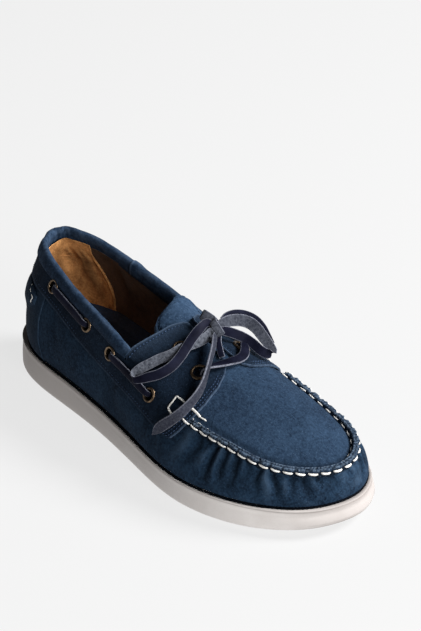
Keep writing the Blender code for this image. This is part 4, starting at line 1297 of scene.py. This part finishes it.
def buildSaddle(name, medial, node):
    columns = saddle["bandColumns"] + saddle["wingColumns"]
    rows = saddle["bandRows"] + saddle["wingRows"]
    piece, across, up = newGrid(name, columns, rows)
    c = np.round(across * columns)
    r = np.round(up * rows)
    band = c / saddle["bandColumns"]
    s = np.clip((c - saddle["bandColumns"]) / saddle["wingColumns"], 0.0, 1.0)
    start, first = saddle["wingFrom"], saddle["bandFrom"]
    bandStation = first + (start - first) * band
    low = alongTable(saddle["bandLow"], 1, np.where(band < 1.0, bandStation, start + (0.562 - start) * s))
    low = low - 0.01 if medial else low
    top = alongTable(saddle["top"], 1, s)
    b = np.clip(r / saddle["bandRows"], 0.0, 1.0)
    q = np.clip((r - saddle["bandRows"]) / saddle["wingRows"], 0.0, 1.0)
    inBand = r <= saddle["bandRows"]
    v = np.where(inBand, low + (saddle["split"] - low) * b, saddle["split"] + (top - saddle["split"]) * q)
    frontEdge = wingEdge(v, medial)
    rear = np.where(inBand, start, alongTable(saddle["rear"], 1, v))
    w = np.where(band < 1.0, bandStation, rear + (frontEdge - rear) * s)
    t = 2.0 - w if medial else w
    rough = softForm(t, v)
    # the band lies closer round the heel, the wing's top edge sits a little proud
    height = overlayTop + lumps(rough, saddle["lumps"]) - heelDraw(w) + 0.5 * smoothStep(v, 1.5, 1.9)
    writePoints(piece, rough + softNormal(t, v) * height[:, None])
    # millimetres to each edge
    toFront = np.where(band < 1.0, 99.0, (1.0 - s) * (frontEdge - rear) * ringLength)
    toLow = (v - low) * 52.0
    toTop = np.where(q > 0.0, (top - v) * 34.0, 99.0)
    toRear = np.where(q > 0.0, s * (frontEdge - rear) * ringLength, 99.0)
    gap = np.minimum(np.minimum(toFront, toLow), np.minimum(toTop, toRear))
    setMask(piece, "edge", fall(gap, 0.1, 1.25) * np.where(toLow < 2.0, 0.3, 0.75))
    # painted highlight along the wing's rear edge above the band, painted shade on the band towards the heel and in a
    # line just inside the edges
    lit = np.exp(-toRear / 5.0) * np.where(v > 1.0, 1.0, 0.0)
    setMask(piece, "shadeAndHighlight", 0.7 * lit - 0.5 * fall(w, 0.25, 0.50) - 0.25 * bell(gap, 2.4, 0.8))
    beyond = [min(r[list(face.vertices)]) >= saddle["bandRows"] and min(c[list(face.vertices)]) < saddle["bandColumns"]
              for face in piece.data.polygons]
    holes = allCorners(piece, nearEyelet(softLifted(t, v, overlayTop), overlayTop, saddle["holeRadius"]))
    deleteFaces(piece, np.logical_or(beyond, holes))
    if medial:
        flip(piece)
    thicken(piece, saddle["thick"], saddle["corner"])
    finishPiece(piece, suedeSaddle, [node])


buildSaddle("saddleLateral", False, "saddle_lateral")
buildSaddle("saddleMedial", True, "saddle_medial")
print("saddle")


def stitchFrames(path, rise, pitch, reach, sink=0.0):
    # stitches at even steps along a path, each square to the surface under it
    run = runOf(path)
    count = max(2, int(round(run[-1] / pitch)))
    want = (np.arange(count) + 0.5) * run[-1] / count
    up = unit(pickAlong(rise, run, want))
    ahead = squared(pickAlong(path, run, want + reach) - pickAlong(path, run, want - reach), up)
    return [(spot - out * sink, along, np.cross(out, along), out, 1.0)
            for spot, along, out in zip(pickAlong(path, run, want), ahead, up)]


def sewLine(name, line, pitch, height, thick):
    # a row of stitches along a line on the form, given as ring position and height
    line = np.array(line, float)
    fine = smoothPath(np.column_stack([line * flatScale, np.zeros(len(line))]), 0.6)[:, :2] / flatScale
    path = softLifted(fine[:, 0], fine[:, 1], height)
    frames = stitchFrames(path, softNormal(fine[:, 0], fine[:, 1]), pitch, 0.6)
    threadRow(name, frames, thread["fineLong"], thick, navyThread)


def edgeSewing():
    # fine rows inside the wing's front edge, along its top and rear edge, and below the band
    for side, medial in (("Lateral", False), ("Medial", True)):
        for n, inset in enumerate((2.1, 4.3)):
            line = [(wingEdge(v, medial) - inset / ringLength, v) for v in np.linspace(0.60, 1.86, 22)]
            sewLine("wingFrontSewing%s%d" % (side, n + 1), mirrored(line, medial), 2.3, overlayTop + 0.08, 0.55)
        sewLine("wingTopSewing" + side, mirrored(saddle["topSewing"], medial), 2.3, overlayTop + 0.3, 0.6)
        above = 0.035 if medial else 0.045
        line = [(w, alongTable(saddle["bandLow"], 1, w) + above) for w in np.linspace(0.06, 0.55, 30)]
        sewLine("bandSewing" + side, mirrored(line, medial), 2.6, overlayTop + 0.02, 0.45)


edgeSewing()
print("fine sewing")

# hand stitching of the wing's corner, a rounded square of thick thread, and the seam's first stitches:
# ring position, height up the form, lift
handSewing = {
    "square": [(0.5970, 0.920, -0.9), (0.5962, 1.02, 0.0), (0.5952, 1.1185, 0.0), (0.5840, 1.1126, 0.0),
               (0.5731, 1.105, 0.0), (0.5751, 1.0229, 0.0), (0.5749, 0.9388, 0.0), (0.5800, 0.925, 0.0),
               (0.5858, 0.9171, 0.0), (0.5953, 0.9158, 0.0), (0.604, 0.920, -0.9)],
    "startInner": [(0.606, 1.119, -0.8), (0.614, 1.1161, 0.3), (0.624, 1.1128, 0.5), (0.6358, 1.1046, 0.2),
                   (0.638, 1.102, -0.8)],
    "startSecond": [(0.6379, 1.098, -0.8), (0.641, 1.100, 0.2), (0.649, 1.106, 0.2), (0.6526, 1.107, -0.8)],
}


def roundThread(name, path, up, wide, thick, material, corners=8):
    piece, across, around = newGrid(name, len(path) - 1, corners)
    i = np.round(across * (len(path) - 1)).astype(int)
    ahead = unit(np.gradient(path, axis=0))
    side = unit(np.cross(up, ahead))
    rise = np.cross(ahead, side)
    slim = np.sqrt(np.clip(np.minimum(i, len(path) - 1 - i) / 2.0, 0.04, 1.0))
    angle = 2.0 * math.pi * around
    writePoints(piece, path[i] + side[i] * (np.cos(angle) * wide * 0.5 * slim)[:, None]
                + rise[i] * (np.sin(angle) * thick * 0.5 * slim)[:, None])
    closeEnds(piece)
    finishPiece(piece, material, sharp=80.0)


def flatThread(name, line, height, wide):
    # one continuous thread on the form
    line = np.array(line, float)
    run = runOf(line[:, :2] * flatScale)
    t, v, lift = pickAlong(line, run, np.linspace(0.0, run[-1], max(6, int(run[-1] / 0.35)))).T
    for _ in range(3):
        # corners only slightly rounded
        t[1:-1] = 0.25 * (t[:-2] + t[2:]) + 0.5 * t[1:-1]
        v[1:-1] = 0.25 * (v[:-2] + v[2:]) + 0.5 * v[1:-1]
    roundThread(name, softLifted(t, v, height + lift), softNormal(t, v), wide, 0.75 * wide, waxedThread)


def sewCorner():
    square = handSewing["square"]
    flatThread("cornerStitchLateral", square, overlayTop + 0.75, 1.15)
    flatThread("cornerStitchMedial", [(2.022 - t, v, lift) for t, v, lift in square], overlayTop + 0.75, 1.15)
    flatThread("seamStartInner", handSewing["startInner"], overlayTop + 0.6, 1.6)
    flatThread("seamStartSecond", handSewing["startSecond"], overlayTop + 0.5, 1.0)


sewCorner()
print("hand stitches")

# collar: soft leather folded over the top edge, outside over the band and inside over the lining
collar = {
    "reach": 0.450, "columns": 720,
    "section": [(1.3, -5.2), (2.0, -5.1), (2.5, -4.4), (2.85, -3.2), (3.05, -1.8), (3.0, -0.3), (2.7, 1.1),
                (2.1, 2.2), (1.2, 3.0), (0.1, 3.3), (-1.0, 3.15), (-2.0, 2.5), (-2.7, 1.4), (-3.05, 0.0),
                (-3.2, -1.6), (-3.3, -3.4), (-3.4, -5.0), (-3.35, -6.6), (-3.0, -7.4), (-2.3, -7.5),
                (-1.2, -6.8), (0.1, -5.8)],
    "joinAt": 1.733,
}


def buildCollar():
    section = np.array(collar["section"])
    count = len(section)
    piece, across, around = newGrid("collarBinding", collar["columns"], count)
    t = -collar["reach"] + across * 2.0 * collar["reach"]
    w = np.abs(t)
    spot, along, out, up = topFrame(t, form(t, np.full(t.shape, 0.995)) - form(t, np.full(t.shape, 0.86)))
    a, b = section[np.round(around * count).astype(int) % count].T
    # the binding slims and dips under the wing at its ends
    close = smoothStep(w, collar["reach"] - 0.035, collar["reach"])
    a = a * (1.0 - 0.25 * close) - 0.5 * close
    b = b * (1.0 - 0.12 * close) + 0.2 * close
    # slimmer and taller round the heel
    heel = fall(w, 0.10, 0.33)
    a = a * (1.0 - 0.16 * heel)
    b = b * (1.0 - 0.08 * heel) + 2.4 * heel * np.where(a < 0.0, 1.0, smoothStep(b, -5.0, 0.0))
    a = a - 1.7 * smoothStep(w, 0.01, 0.05) * fall(w, 0.12, 0.20)
    points = spot + out * a[:, None] + up * b[:, None]
    crease = fineNoise(np.column_stack([t * ringLength, a * 2.0, b * 2.0]), 5.5, 3.0) * 0.22
    swell = fineNoise(points, 28.0, 8.0) * 0.3
    # a lapped join on the inner side
    step = (collar["joinAt"] - 2.0 - t) * ringLength
    lap = 0.75 * smoothStep(step, -0.8, 0.0) * fall(step, 2.5, 9.0)
    lower = smoothStep(b, -5.5, -3.5)
    grow = (crease + swell + lap) / np.maximum(np.hypot(a, b + 1.5), 0.5) * (0.25 + 0.75 * lower)
    writePoints(piece, points + (out * a[:, None] + up * (b + 1.5)[:, None]) * grow[:, None])
    side = smoothStep(a, 1.6, 2.9)
    # painted light and shade: lighter and darker along the creases, the top lighter, the outer side and the part
    # tucked below darker
    setMask(piece, "shadeAndHighlight", np.clip(crease * 2.4 + 0.25 * (b > 1.0) - 0.55 * side - 0.9 * (1.0 - lower), -1.0, 1.0))
    setMask(piece, "edge", np.clip(lap * (step > -0.8) * (step < 1.0), 0.0, 0.6))
    closeEnds(piece)
    finishPiece(piece, suedeFuzzy, ["collar_roll"])


buildCollar()
print("collar binding")

# heel tab: narrow strip down the back seam, over a padded patch with bars of thread along its sides
heelTab = {"columns": 26, "rows": 50, "low": 0.30, "high": 0.86, "half": 0.034, "proud": 0.7, "thick": 1.6,
           "corner": 0.3}
heelPatch = {
    "columns": 140, "rows": 30, "half": 0.190, "proud": 3.0, "rim": 0.6,
    # away from the heel's middle, lower and upper edge
    "edges": [(0.0, 0.26, 0.69), (0.06, 0.27, 0.69), (0.10, 0.31, 0.70), (0.14, 0.42, 0.715), (0.190, 0.53, 0.70)],
    "threads": [((0.1500, 0.702), (0.1535, 0.687)), ((0.1560, 0.668), (0.1580, 0.655), (0.1640, 0.642)),
                ((0.1700, 0.634), (0.1790, 0.617), (0.1740, 0.580), (0.1710, 0.546))],
}


def patchHeight(t, v):
    # fullest near the upper edge, running out towards the lower one
    u = np.abs(t) / heelPatch["half"]
    low, high = (alongTable(heelPatch["edges"], k, np.abs(t)) for k in (1, 2))
    s = (2.0 * v - low - high) / (high - low)
    swell = np.sqrt(np.clip((1.0 - np.abs(s) ** 2.6) * (1.0 - u ** 9.0), 0.0, 1.0))
    swell *= 1.0 - 0.8 * smoothStep(-s, 0.0, 0.95)
    return heelPatch["rim"] + (heelPatch["proud"] - heelPatch["rim"]) * swell


def buildHeelTab():
    piece, across, up = newGrid("heelTab", heelTab["columns"], heelTab["rows"])
    v = heelTab["low"] + (heelTab["high"] - heelTab["low"]) * up
    foot = np.sqrt(np.clip((v - heelTab["low"] + 0.01) / 0.07, 0.12, 1.0))
    u = np.abs(across * 2.0 - 1.0)
    t = (across * 2.0 - 1.0) * heelTab["half"] * foot
    spots = softForm(t, v, 0.03)
    relief = patchHeight(t, v) + heelTab["proud"] - heelDraw(t) + fineNoise(spots, 12.0, 12.0) * 0.15
    relief += 0.8 * smoothStep(v, 0.66, 0.74) - 0.4 * smoothStep(u, 0.8, 1.0)
    writePoints(piece, spots + formNormal(t, v) * relief[:, None])
    setMask(piece, "edge", 0.5 * np.maximum(smoothStep(u, 0.86, 1.0), fall(up, 0.0, 0.02)))
    thicken(piece, heelTab["thick"], heelTab["corner"])
    finishPiece(piece, suedeWall, ["heel_tab"])


def buildHeelPatch():
    piece, across, up = newGrid("heelPatch", heelPatch["columns"], heelPatch["rows"])
    u = across * 2.0 - 1.0
    t = u * heelPatch["half"]
    low, high = (alongTable(heelPatch["edges"], k, np.abs(t)) for k in (1, 2))
    corner = np.sqrt(np.clip((1.0 - np.abs(u)) / 0.08, 0.3, 1.0))
    v = 0.5 * (low + high) + (up - 0.5) * (high - low) * corner
    spots = softForm(t, v, 0.03)
    relief = patchHeight(t, v) - heelDraw(t) + fineNoise(spots, 10.0, 12.0) * 0.2
    writePoints(piece, spots + formNormal(t, v) * relief[:, None])
    setMask(piece, "edge", 0.3 * smoothStep(np.abs(u), 0.95, 1.0))
    # painted shade: darker all over, darkest near its upper and lower edges
    setMask(piece, "shadeAndHighlight", -0.45 - 0.3 * smoothStep(np.abs(2.0 * up - 1.0), 0.6, 1.0))
    thicken(piece, heelTab["thick"], heelTab["corner"])
    finishPiece(piece, suedeWall)
    for n, bar in enumerate(heelPatch["threads"]):
        raised = [(t, v, float(patchHeight(t, v))) for t, v in bar]
        flatThread("heelThreadLateral%d" % (n + 1), raised, 0.1, 0.85)
        flatThread("heelThreadMedial%d" % (n + 1), mirrored(raised, True), 0.1, 0.85)


buildHeelTab()
buildHeelPatch()
print("heel tab and patch")

# tongue: middle, half width and hang of the sides at each row, front to back
tongue = {
    "rows": [(192.0, 7.0, 62.4, 15.0, 3.5), (178.0, 7.0, 66.9, 17.0, 5.0), (165.0, 7.0, 70.7, 18.5, 7.5),
             (153.0, 7.0, 74.6, 19.0, 9.5), (144.0, 7.5, 78.4, 19.8, 10.5), (137.5, 8.3, 81.0, 20.3, 10.6),
             (133.4, 9.6, 82.6, 18.6, 9.8), (131.0, 11.0, 83.4, 15.6, 7.8), (129.6, 12.6, 83.8, 12.0, 5.4),
             (128.8, 13.8, 83.8, 8.2, 3.0)],
    "columns": 64, "lines": 90, "thick": 2.6, "corner": 0.5, "pitch": 2.36,
    "lumps": [(20.0, 2.0, 0.5), (7.0, 5.0, 0.15)],
}


def tonguePoint(share, s):
    rows = np.array(tongue["rows"])
    x, y, z, wide, hang = (np.interp(share * (len(rows) - 1), np.arange(len(rows)), rows[:, k]) for k in range(5))
    drop = hang * np.abs(s) ** 1.8
    return np.stack([x, y + wide * s, z - drop], -1)


def tongueNormal(share, s):
    ahead = tonguePoint(np.clip(share - 0.01, 0, 1), s) - tonguePoint(np.clip(share + 0.01, 0, 1), s)
    side = tonguePoint(share, np.clip(s + 0.02, -1, 1)) - tonguePoint(share, np.clip(s - 0.02, -1, 1))
    return unit(np.cross(ahead, side))


def buildTongue():
    piece, across, up = newGrid("tonguePad", tongue["columns"], tongue["lines"])
    s = across * 2.0 - 1.0
    share = denseEnds(up, 0.35)
    spots = tonguePoint(share, s)
    gap = np.minimum((1.0 - np.abs(s)) * 19.0, (1.0 - share) * 60.0)
    relief = lumps(spots, tongue["lumps"]) - 0.7 * bell(gap, 3.2, 0.7) - 0.4 * fall(gap, 0.0, 1.2)
    writePoints(piece, spots + tongueNormal(share, s) * relief[:, None])
    setMask(piece, "edge", fall(gap, 0.2, 1.4) * 0.7)
    # painted highlight along the rolled edge, painted shade in the groove of the sewing
    setMask(piece, "shadeAndHighlight", 0.25 * bell(gap, 1.6, 0.7) - 0.7 * bell(gap, 3.2, 0.6))
    thicken(piece, tongue["thick"], tongue["corner"])
    turnOutward(piece)
    finishPiece(piece, suedeTongue, ["tongue"])


def sewTongue():
    # up one side, round the free end and down the other side
    line = [(share, -0.82) for share in np.linspace(0.35, 0.90, 22)]
    line += [(0.955 - 0.055 * abs(c) ** 5, c) for c in np.linspace(-0.80, 0.80, 40)]
    line += [(share, 0.82) for share in np.linspace(0.90, 0.35, 22)]
    share, s = np.array(line).T
    frames = stitchFrames(tonguePoint(share, s), tongueNormal(share, s), tongue["pitch"], 0.5, 0.25)
    threadRow("tongueSewing", frames, thread["fineLong"], 0.6, navyThread)


buildTongue()
sewTongue()
print("tongue")

# linings: tan leather round the heel, dark leather forward of the piping, its dark colour partly painted shade inside
# the shoe
lining = {
    "depth": 3.3, "thick": 0.5, "lumps": [(15.0, 14.0, 0.3), (5.0, 16.0, 0.2)],
    "stitched": [(1.993, 0.76), (1.946, 0.73), (1.906, 0.71), (1.873, 0.72)],
    # height up the form, where the heel piece ends on the inner side and on the outer
    "join": [(0.0, 1.803, 0.197), (0.18, 1.803, 0.197), (0.31, 1.803, 0.197), (0.445, 1.809, 0.191),
             (0.605, 1.822, 0.178), (0.745, 1.837, 0.163), (0.86, 1.840, 0.160), (0.99, 1.834, 0.166)],
    "wrinkles": [(1.884, 0.80, 1.838, 0.22, 13.0, 2.6), (1.905, 0.55, 1.890, 0.22, 7.0, 0.7),
                 (1.955, 0.62, 1.930, 0.25, 8.0, 0.8), (1.862, 0.84, 1.850, 0.45, 6.0, 1.3),
                 (1.925, 0.85, 1.915, 0.60, 6.0, 0.9), (1.975, 0.80, 1.965, 0.45, 7.0, 0.7),
                 (0.075, 0.70, 0.10, 0.22, 7.0, 1.1), (0.125, 0.60, 0.14, 0.20, 7.0, 0.9)],
    "sideFolds": [(1.760, 0.80, 1.745, 0.25, 12.0, 0.9), (1.70, 0.70, 1.69, 0.2, 14.0, -0.7),
                  (1.63, 0.75, 1.62, 0.2, 12.0, 0.8), (0.26, 0.75, 0.27, 0.2, 12.0, 0.8),
                  (0.35, 0.75, 0.36, 0.2, 12.0, 0.8)],
}


def buildLining(name, fromSpot, toSpot, columns, rows, top, material, folds, depth):
    # from and to: ring positions at each height, found from the height v
    piece, across, up = newGrid(name, columns, rows)
    v = 0.02 + up * (top - 0.02)
    first, last = fromSpot(v), toSpot(v)
    t = first + (last - first) * across
    relief, tone = foldRelief(np.mod(t, 2.0), v, folds)
    spots = form(t, v)
    relief = relief * 0.8 + lumps(spots, lining["lumps"])
    # folds stand into the shoe, and the top edge tucks in under the binding
    tucked = (heelDraw(t) * smoothStep(v, 0.66, 0.90)
              - 0.5 * smoothStep(fromHeel(t), 0.20, 0.30) * smoothStep(v, 0.80, 0.92))
    writePoints(piece, spots - formNormal(t, v) * (depth + tucked - np.minimum(relief, 0.5))[:, None])
    # painted shade in the wrinkles' troughs
    setMask(piece, "shadeAndHighlight", np.clip(tone, -1.0, 0.3))
    flip(piece)
    thicken(piece, lining["thick"])
    finishPiece(piece, material, sharp=70.0)


def liningThread(name, t, v, deeper, wide, thick, corners=6):
    out = formNormal(t, v)
    roundThread(name, form(t, v) - out * (lining["depth"] + deeper), -out, wide, thick, liningTan, corners)


def buildLinings():
    join, depth, folds = lining["join"], lining["depth"], lining["sideFolds"]
    buildLining("liningHeel", lambda v: alongTable(join, 1, v) - 2.004, lambda v: alongTable(join, 2, v) + 0.004,
                150, 46, 0.985, liningTan, lining["wrinkles"], depth + 0.35)
    buildLining("liningMedial", lambda v: np.full(v.shape, 1.44), lambda v: alongTable(join, 1, v) + 0.003,
                130, 36, 0.945, liningDark, folds, depth)
    buildLining("liningLateral", lambda v: alongTable(join, 2, v) - 0.003, lambda v: np.full(v.shape, 0.56),
                130, 36, 0.945, liningDark, folds, depth)
    v = np.linspace(0.16, 0.92, 60)
    for side, column, shift in (("Medial", 1, 0.010), ("Lateral", 2, -0.010)):
        t = alongTable(join, column, v)
        liningThread("liningPiping" + side, t, v, 0.55, 1.7, 1.3, 10)
        liningThread("liningSeam" + side, t + shift, v, 0.5, 0.6, 0.5)
    # stitch line across the tan leather
    line = np.array(lining["stitched"])
    t = np.linspace(line[0, 0], line[-1, 0], 60)
    liningThread("liningStitching", t, np.interp(-t, -line[:, 0], line[:, 1]), 1.0, 0.9, 0.7)


buildLinings()
print("linings")

# sole: its middle line, the spring of the toe and the raised arch, then the cup's outline and finish
outsole = {
    "columns": 520, "middle": [(0.0, 0.0), (150.0, -1.0), (200.0, -2.0), (300.0, 6.0)],
    "spring": 7.2, "springFrom": 205.0, "length": 300.0, "arch": 1.5, "archFrom": 98.0, "archTo": 152.0,
    "archRamp": 14.0, "ribPitch": 2.1, "ribDeep": 0.22,
    # ring position and how much painted shade darkens the rubber there
    "soilAndShade": [(0.0, 0.60), (0.13, 0.72), (0.30, 0.62), (0.45, 0.42), (0.60, 0.16), (0.80, 0.04), (0.86, 0.20),
             (0.92, 0.58), (0.97, 0.74), (1.10, 0.74), (1.30, 0.55), (1.60, 0.50), (2.0, 0.60)],
    # from, out, height, groove mask (painted shade: a line on the lip, and the shade under the upper's foot): out is
    # counted from the widest edge, from the lip over the wall's top or from the feather line, height from the bottom
    # or from the feather line
    "profile": [
        ("middle", 0.0, 2.0, 0.0), ("edge", -16.0, 2.0, 0.0), ("edge", -9.2, 2.0, 0.0), ("edge", -9.0, 0.1, 0.0),
        ("edge", -6.0, 0.0, 0.0), ("edge", -3.4, 0.0, 0.0), ("edge", -2.2, 0.25, 0.0), ("edge", -1.2, 0.9, 0.0),
        ("edge", -0.5, 1.9, 0.0), ("edge", -0.05, 3.3, 0.0), ("wall", 0.15, 0.0, 0.0), ("wall", 0.32, 0.0, 0.0),
        ("wall", 0.50, 0.0, 0.0), ("wall", 0.68, 0.0, 0.0), ("wall", 0.84, 0.0, 0.0), ("wall", 0.95, 0.0, 0.0),
        ("lip", -0.02, -4.2, 0.0), ("lip", 0.05, -3.0, 0.0), ("lip", 0.0, -2.0, 0.0), ("lip", -0.12, -1.55, 0.3),
        ("lip", -0.25, -1.35, 0.6), ("lip", -0.18, -1.15, 0.2), ("lip", -0.35, -0.65, 0.0),
        ("lip", -0.8, -0.30, 0.0), ("foot", 1.6, -0.25, 0.0), ("foot", 0.9, -0.30, 0.0), ("foot", 0.3, -0.6, 0.4),
        ("foot", -3.0, -0.7, 0.0), ("foot", -8.0, -1.3, 0.5), ("middle", 0.0, -1.3, 1.0)],
    "wallFrom": 3.3, "lipHigh": 4.9, "lipShare": 0.40,
}


def springAt(x):
    share = np.clip((x - outsole["springFrom"]) / (outsole["length"] - outsole["springFrom"]), 0.0, 1.2)
    return outsole["spring"] * share ** 2


def archAt(x):
    share = (np.clip((x - outsole["archFrom"]) / outsole["archRamp"], 0.0, 1.0)
             * np.clip((outsole["archTo"] - x) / outsole["archRamp"], 0.0, 1.0))
    return outsole["arch"] * share * share * (3.0 - 2.0 * share)


def buildOutsole():
    profile = outsole["profile"]
    piece, across, up = newGrid("outsoleCup", outsole["columns"], len(profile) - 1)
    t = across * 2.0
    k = np.round(up * (len(profile) - 1)).astype(int)
    inset, high = sectionLoop(t)[:, 0], sectionLoop(t)[:, 1]
    lift = springAt(edgeLoop(t)[:, 0])
    lipOut = -inset * outsole["lipShare"]
    points = np.zeros((len(t), 3))
    groove = np.zeros(len(t))
    for row, (kind, out, above, paintedShade) in enumerate(profile):
        here = k == row
        if kind == "middle":
            x = np.clip(edgePoint(t[here], -16.0)[:, 0], 30.0, 270.0)
            spot = np.column_stack([x, alongTable(outsole["middle"], 1, x)])
            z = springAt(x) + archAt(x) + above if above > 0.0 else high[here] + above
        elif kind == "wall":
            spot = edgePoint(t[here], out * lipOut[here] * 0.75 + 0.25 * math.sin(math.pi * out))
            low = lift[here] + outsole["wallFrom"]
            z = low + (high[here] - outsole["lipHigh"] - low) * out
        elif kind == "edge":
            spot = edgePoint(t[here], out)
            z = springAt(spot[:, 0]) + above + (archAt(spot[:, 0]) if out < -8.0 else 0.0)
        else:
            spot = edgePoint(t[here], (lipOut if kind == "lip" else -inset)[here] + out)
            z = high[here] + above
        points[here] = np.column_stack([spot, z])
        groove[here] = paintedShade
    # fine upright ribs on the lip round the toe
    rib = np.sin(2.0 * math.pi * t * ringSpeed(t).mean() / outsole["ribPitch"])
    points[:, 2] += np.where((k >= 24) & (k <= 26), outsole["ribDeep"] * 0.5 * rib, 0.0)
    uneven = fineNoise(points, 45.0, 21.0) * 0.18
    points[:, :2] += outward(t) * np.where((k >= 9) & (k <= 16), uneven, 0.0)[:, None]
    writePoints(piece, points)
    # painted shade round the ring, and darker over the lip next to the upper
    soilAndShade = alongTable(outsole["soilAndShade"], 1, t) + 0.12 * (k > 17)
    setMask(piece, "groove", np.clip(groove + soilAndShade, 0.0, 1.0))
    weld(piece)
    turnOutward(piece)
    finishPiece(piece, soleRubber, ["outsole"], sharp=48.0)


# insole: a soft sock, cupped up the walls round the heel
insole = {
    "columns": 260, "rows": 34, "thick": 2.4, "above": 3.3, "inside": 5.0, "offWall": 4.1, "flatShare": 0.72,
    "spine": (26.0, 268.0),
    "cup": [(0.0, 0.115), (0.14, 0.126), (0.177, 0.14), (0.211, 0.17), (0.255, 0.19), (0.30, 0.21), (0.38, 0.19),
            (0.5, 0.10), (1.0, 0.06)],
}


def faceUp(piece, up):
    # turns a welded sheet so that its faces look up, or down
    turnOutward(piece)
    rise = np.array([face.normal.z for face in piece.data.polygons]).mean()
    if (rise > 0.0) != up:
        flip(piece)


def buildInsole():
    piece, across, up = newGrid("insoleSock", insole["columns"], insole["rows"])
    t = across * 2.0
    cup = alongTable(insole["cup"], 1, fromHeel(t))
    section = sectionLoop(t)
    flat = np.column_stack([edgePoint(t, -section[:, 0] - wallThick - insole["inside"]),
                            section[:, 1] + insole["above"]])
    rim = form(t, cup) - formNormal(t, cup) * insole["offWall"]
    spine = np.clip(flat[:, 0], *insole["spine"])
    middle = np.column_stack([spine, alongTable(outsole["middle"], 1, spine), flat[:, 2]])
    inner = np.clip(up / insole["flatShare"], 0.0, 1.0)
    outer = np.clip((up - insole["flatShare"]) / (1.0 - insole["flatShare"]), 0.0, 1.0)
    spots = middle + (flat - middle) * inner[:, None]
    spots[:, :2] += (rim[:, :2] - spots[:, :2]) * np.sin(outer * math.pi / 2.0)[:, None]
    spots[:, 2] += (rim[:, 2] - spots[:, 2]) * (1.0 - np.cos(outer * math.pi / 2.0))
    spots[:, 2] += fineNoise(spots, 30.0, 19.0) * 0.5 * (1.0 - outer ** 1.5)
    writePoints(piece, spots)
    # painted shade: a little darker all over
    setMask(piece, "shadeAndHighlight", np.full(len(t), -0.1))
    weld(piece)
    faceUp(piece, True)
    thicken(piece, insole["thick"])
    finishPiece(piece, insoleCloth, ["insole"], sharp=70.0)


buildInsole()
print("insole")

# crevice shadow: a near-black cord in the crevice where the upper meets the sole, a painted shadow standing for the
# crevice's shade
creviceShadow = {"radius": 0.80, "columns": 619, "corners": 8, "notch": 0.08, "notchPitch": 2.4}


def buildCreviceShadow():
    piece, across, around = newGrid("creviceShadowCord", creviceShadow["columns"], creviceShadow["corners"])
    t = across * 2.0
    section = sectionLoop(t)
    spots = np.column_stack([edgePoint(t, -section[:, 0] - 0.05 - heelDraw(t)), section[:, 1] + 0.05])
    angle = 2.0 * math.pi * around
    radius = creviceShadow["radius"] * (1.0 + creviceShadow["notch"] * np.sin(2.0 * math.pi * t * ringLength / creviceShadow["notchPitch"]))
    spots[:, :2] += outward(t) * (np.cos(angle) * radius)[:, None]
    spots[:, 2] += np.sin(angle) * radius
    writePoints(piece, spots)
    weld(piece)
    turnOutward(piece)
    # painted shadow: darkened to the full
    setMask(piece, "shadeAndHighlight", np.full(len(piece.data.vertices), -1.0))
    finishPiece(piece, creviceShadowSuede, sharp=80.0)


buildCreviceShadow()
buildOutsole()
print("outsole and welt")

# tread: slab under the cup cut with wavy slits
tread = {"columns": 560, "rows": 40, "from": 10.5, "long": 280.0, "inset": -9.1, "thick": 2.6,
         "pitch": 4.2, "deep": 1.1, "wave": 1.1, "waveLong": 15.0}


def buildTread():
    piece, across, up = newGrid("treadSlab", tread["columns"], tread["rows"])
    x = tread["from"] + across * tread["long"]
    s = up * 2.0 - 1.0
    ring = np.linspace(0.0, 1.0, 500)
    lateral, medial = (edgePoint(side, tread["inset"]) for side in (ring, 2.0 - ring))
    low = np.interp(x, lateral[:, 0], lateral[:, 1])
    top = np.interp(x, medial[:, 0], medial[:, 1])
    y = 0.5 * (low + top) + 0.5 * (top - low) * np.sin(s * math.pi / 2.0)
    phase = (x + tread["wave"] * np.sin(2.0 * math.pi * y / tread["waveLong"])) / tread["pitch"]
    slit = fall(np.abs(phase - np.round(phase)) * tread["pitch"], 0.25, 0.6)
    slit *= smoothStep(1.0 - np.abs(s), 0.0, 0.04) * smoothStep(x, 11.0, 14.0) * fall(x, 287.0, 290.0)
    writePoints(piece, np.column_stack([x, y, springAt(x) + archAt(x) + slit * tread["deep"]]))
    # painted shade in the slits
    setMask(piece, "groove", slit)
    faceUp(piece, False)
    thicken(piece, tread["thick"])
    finishPiece(piece, soleRubber, sharp=48.0)


buildTread()
print("tread")
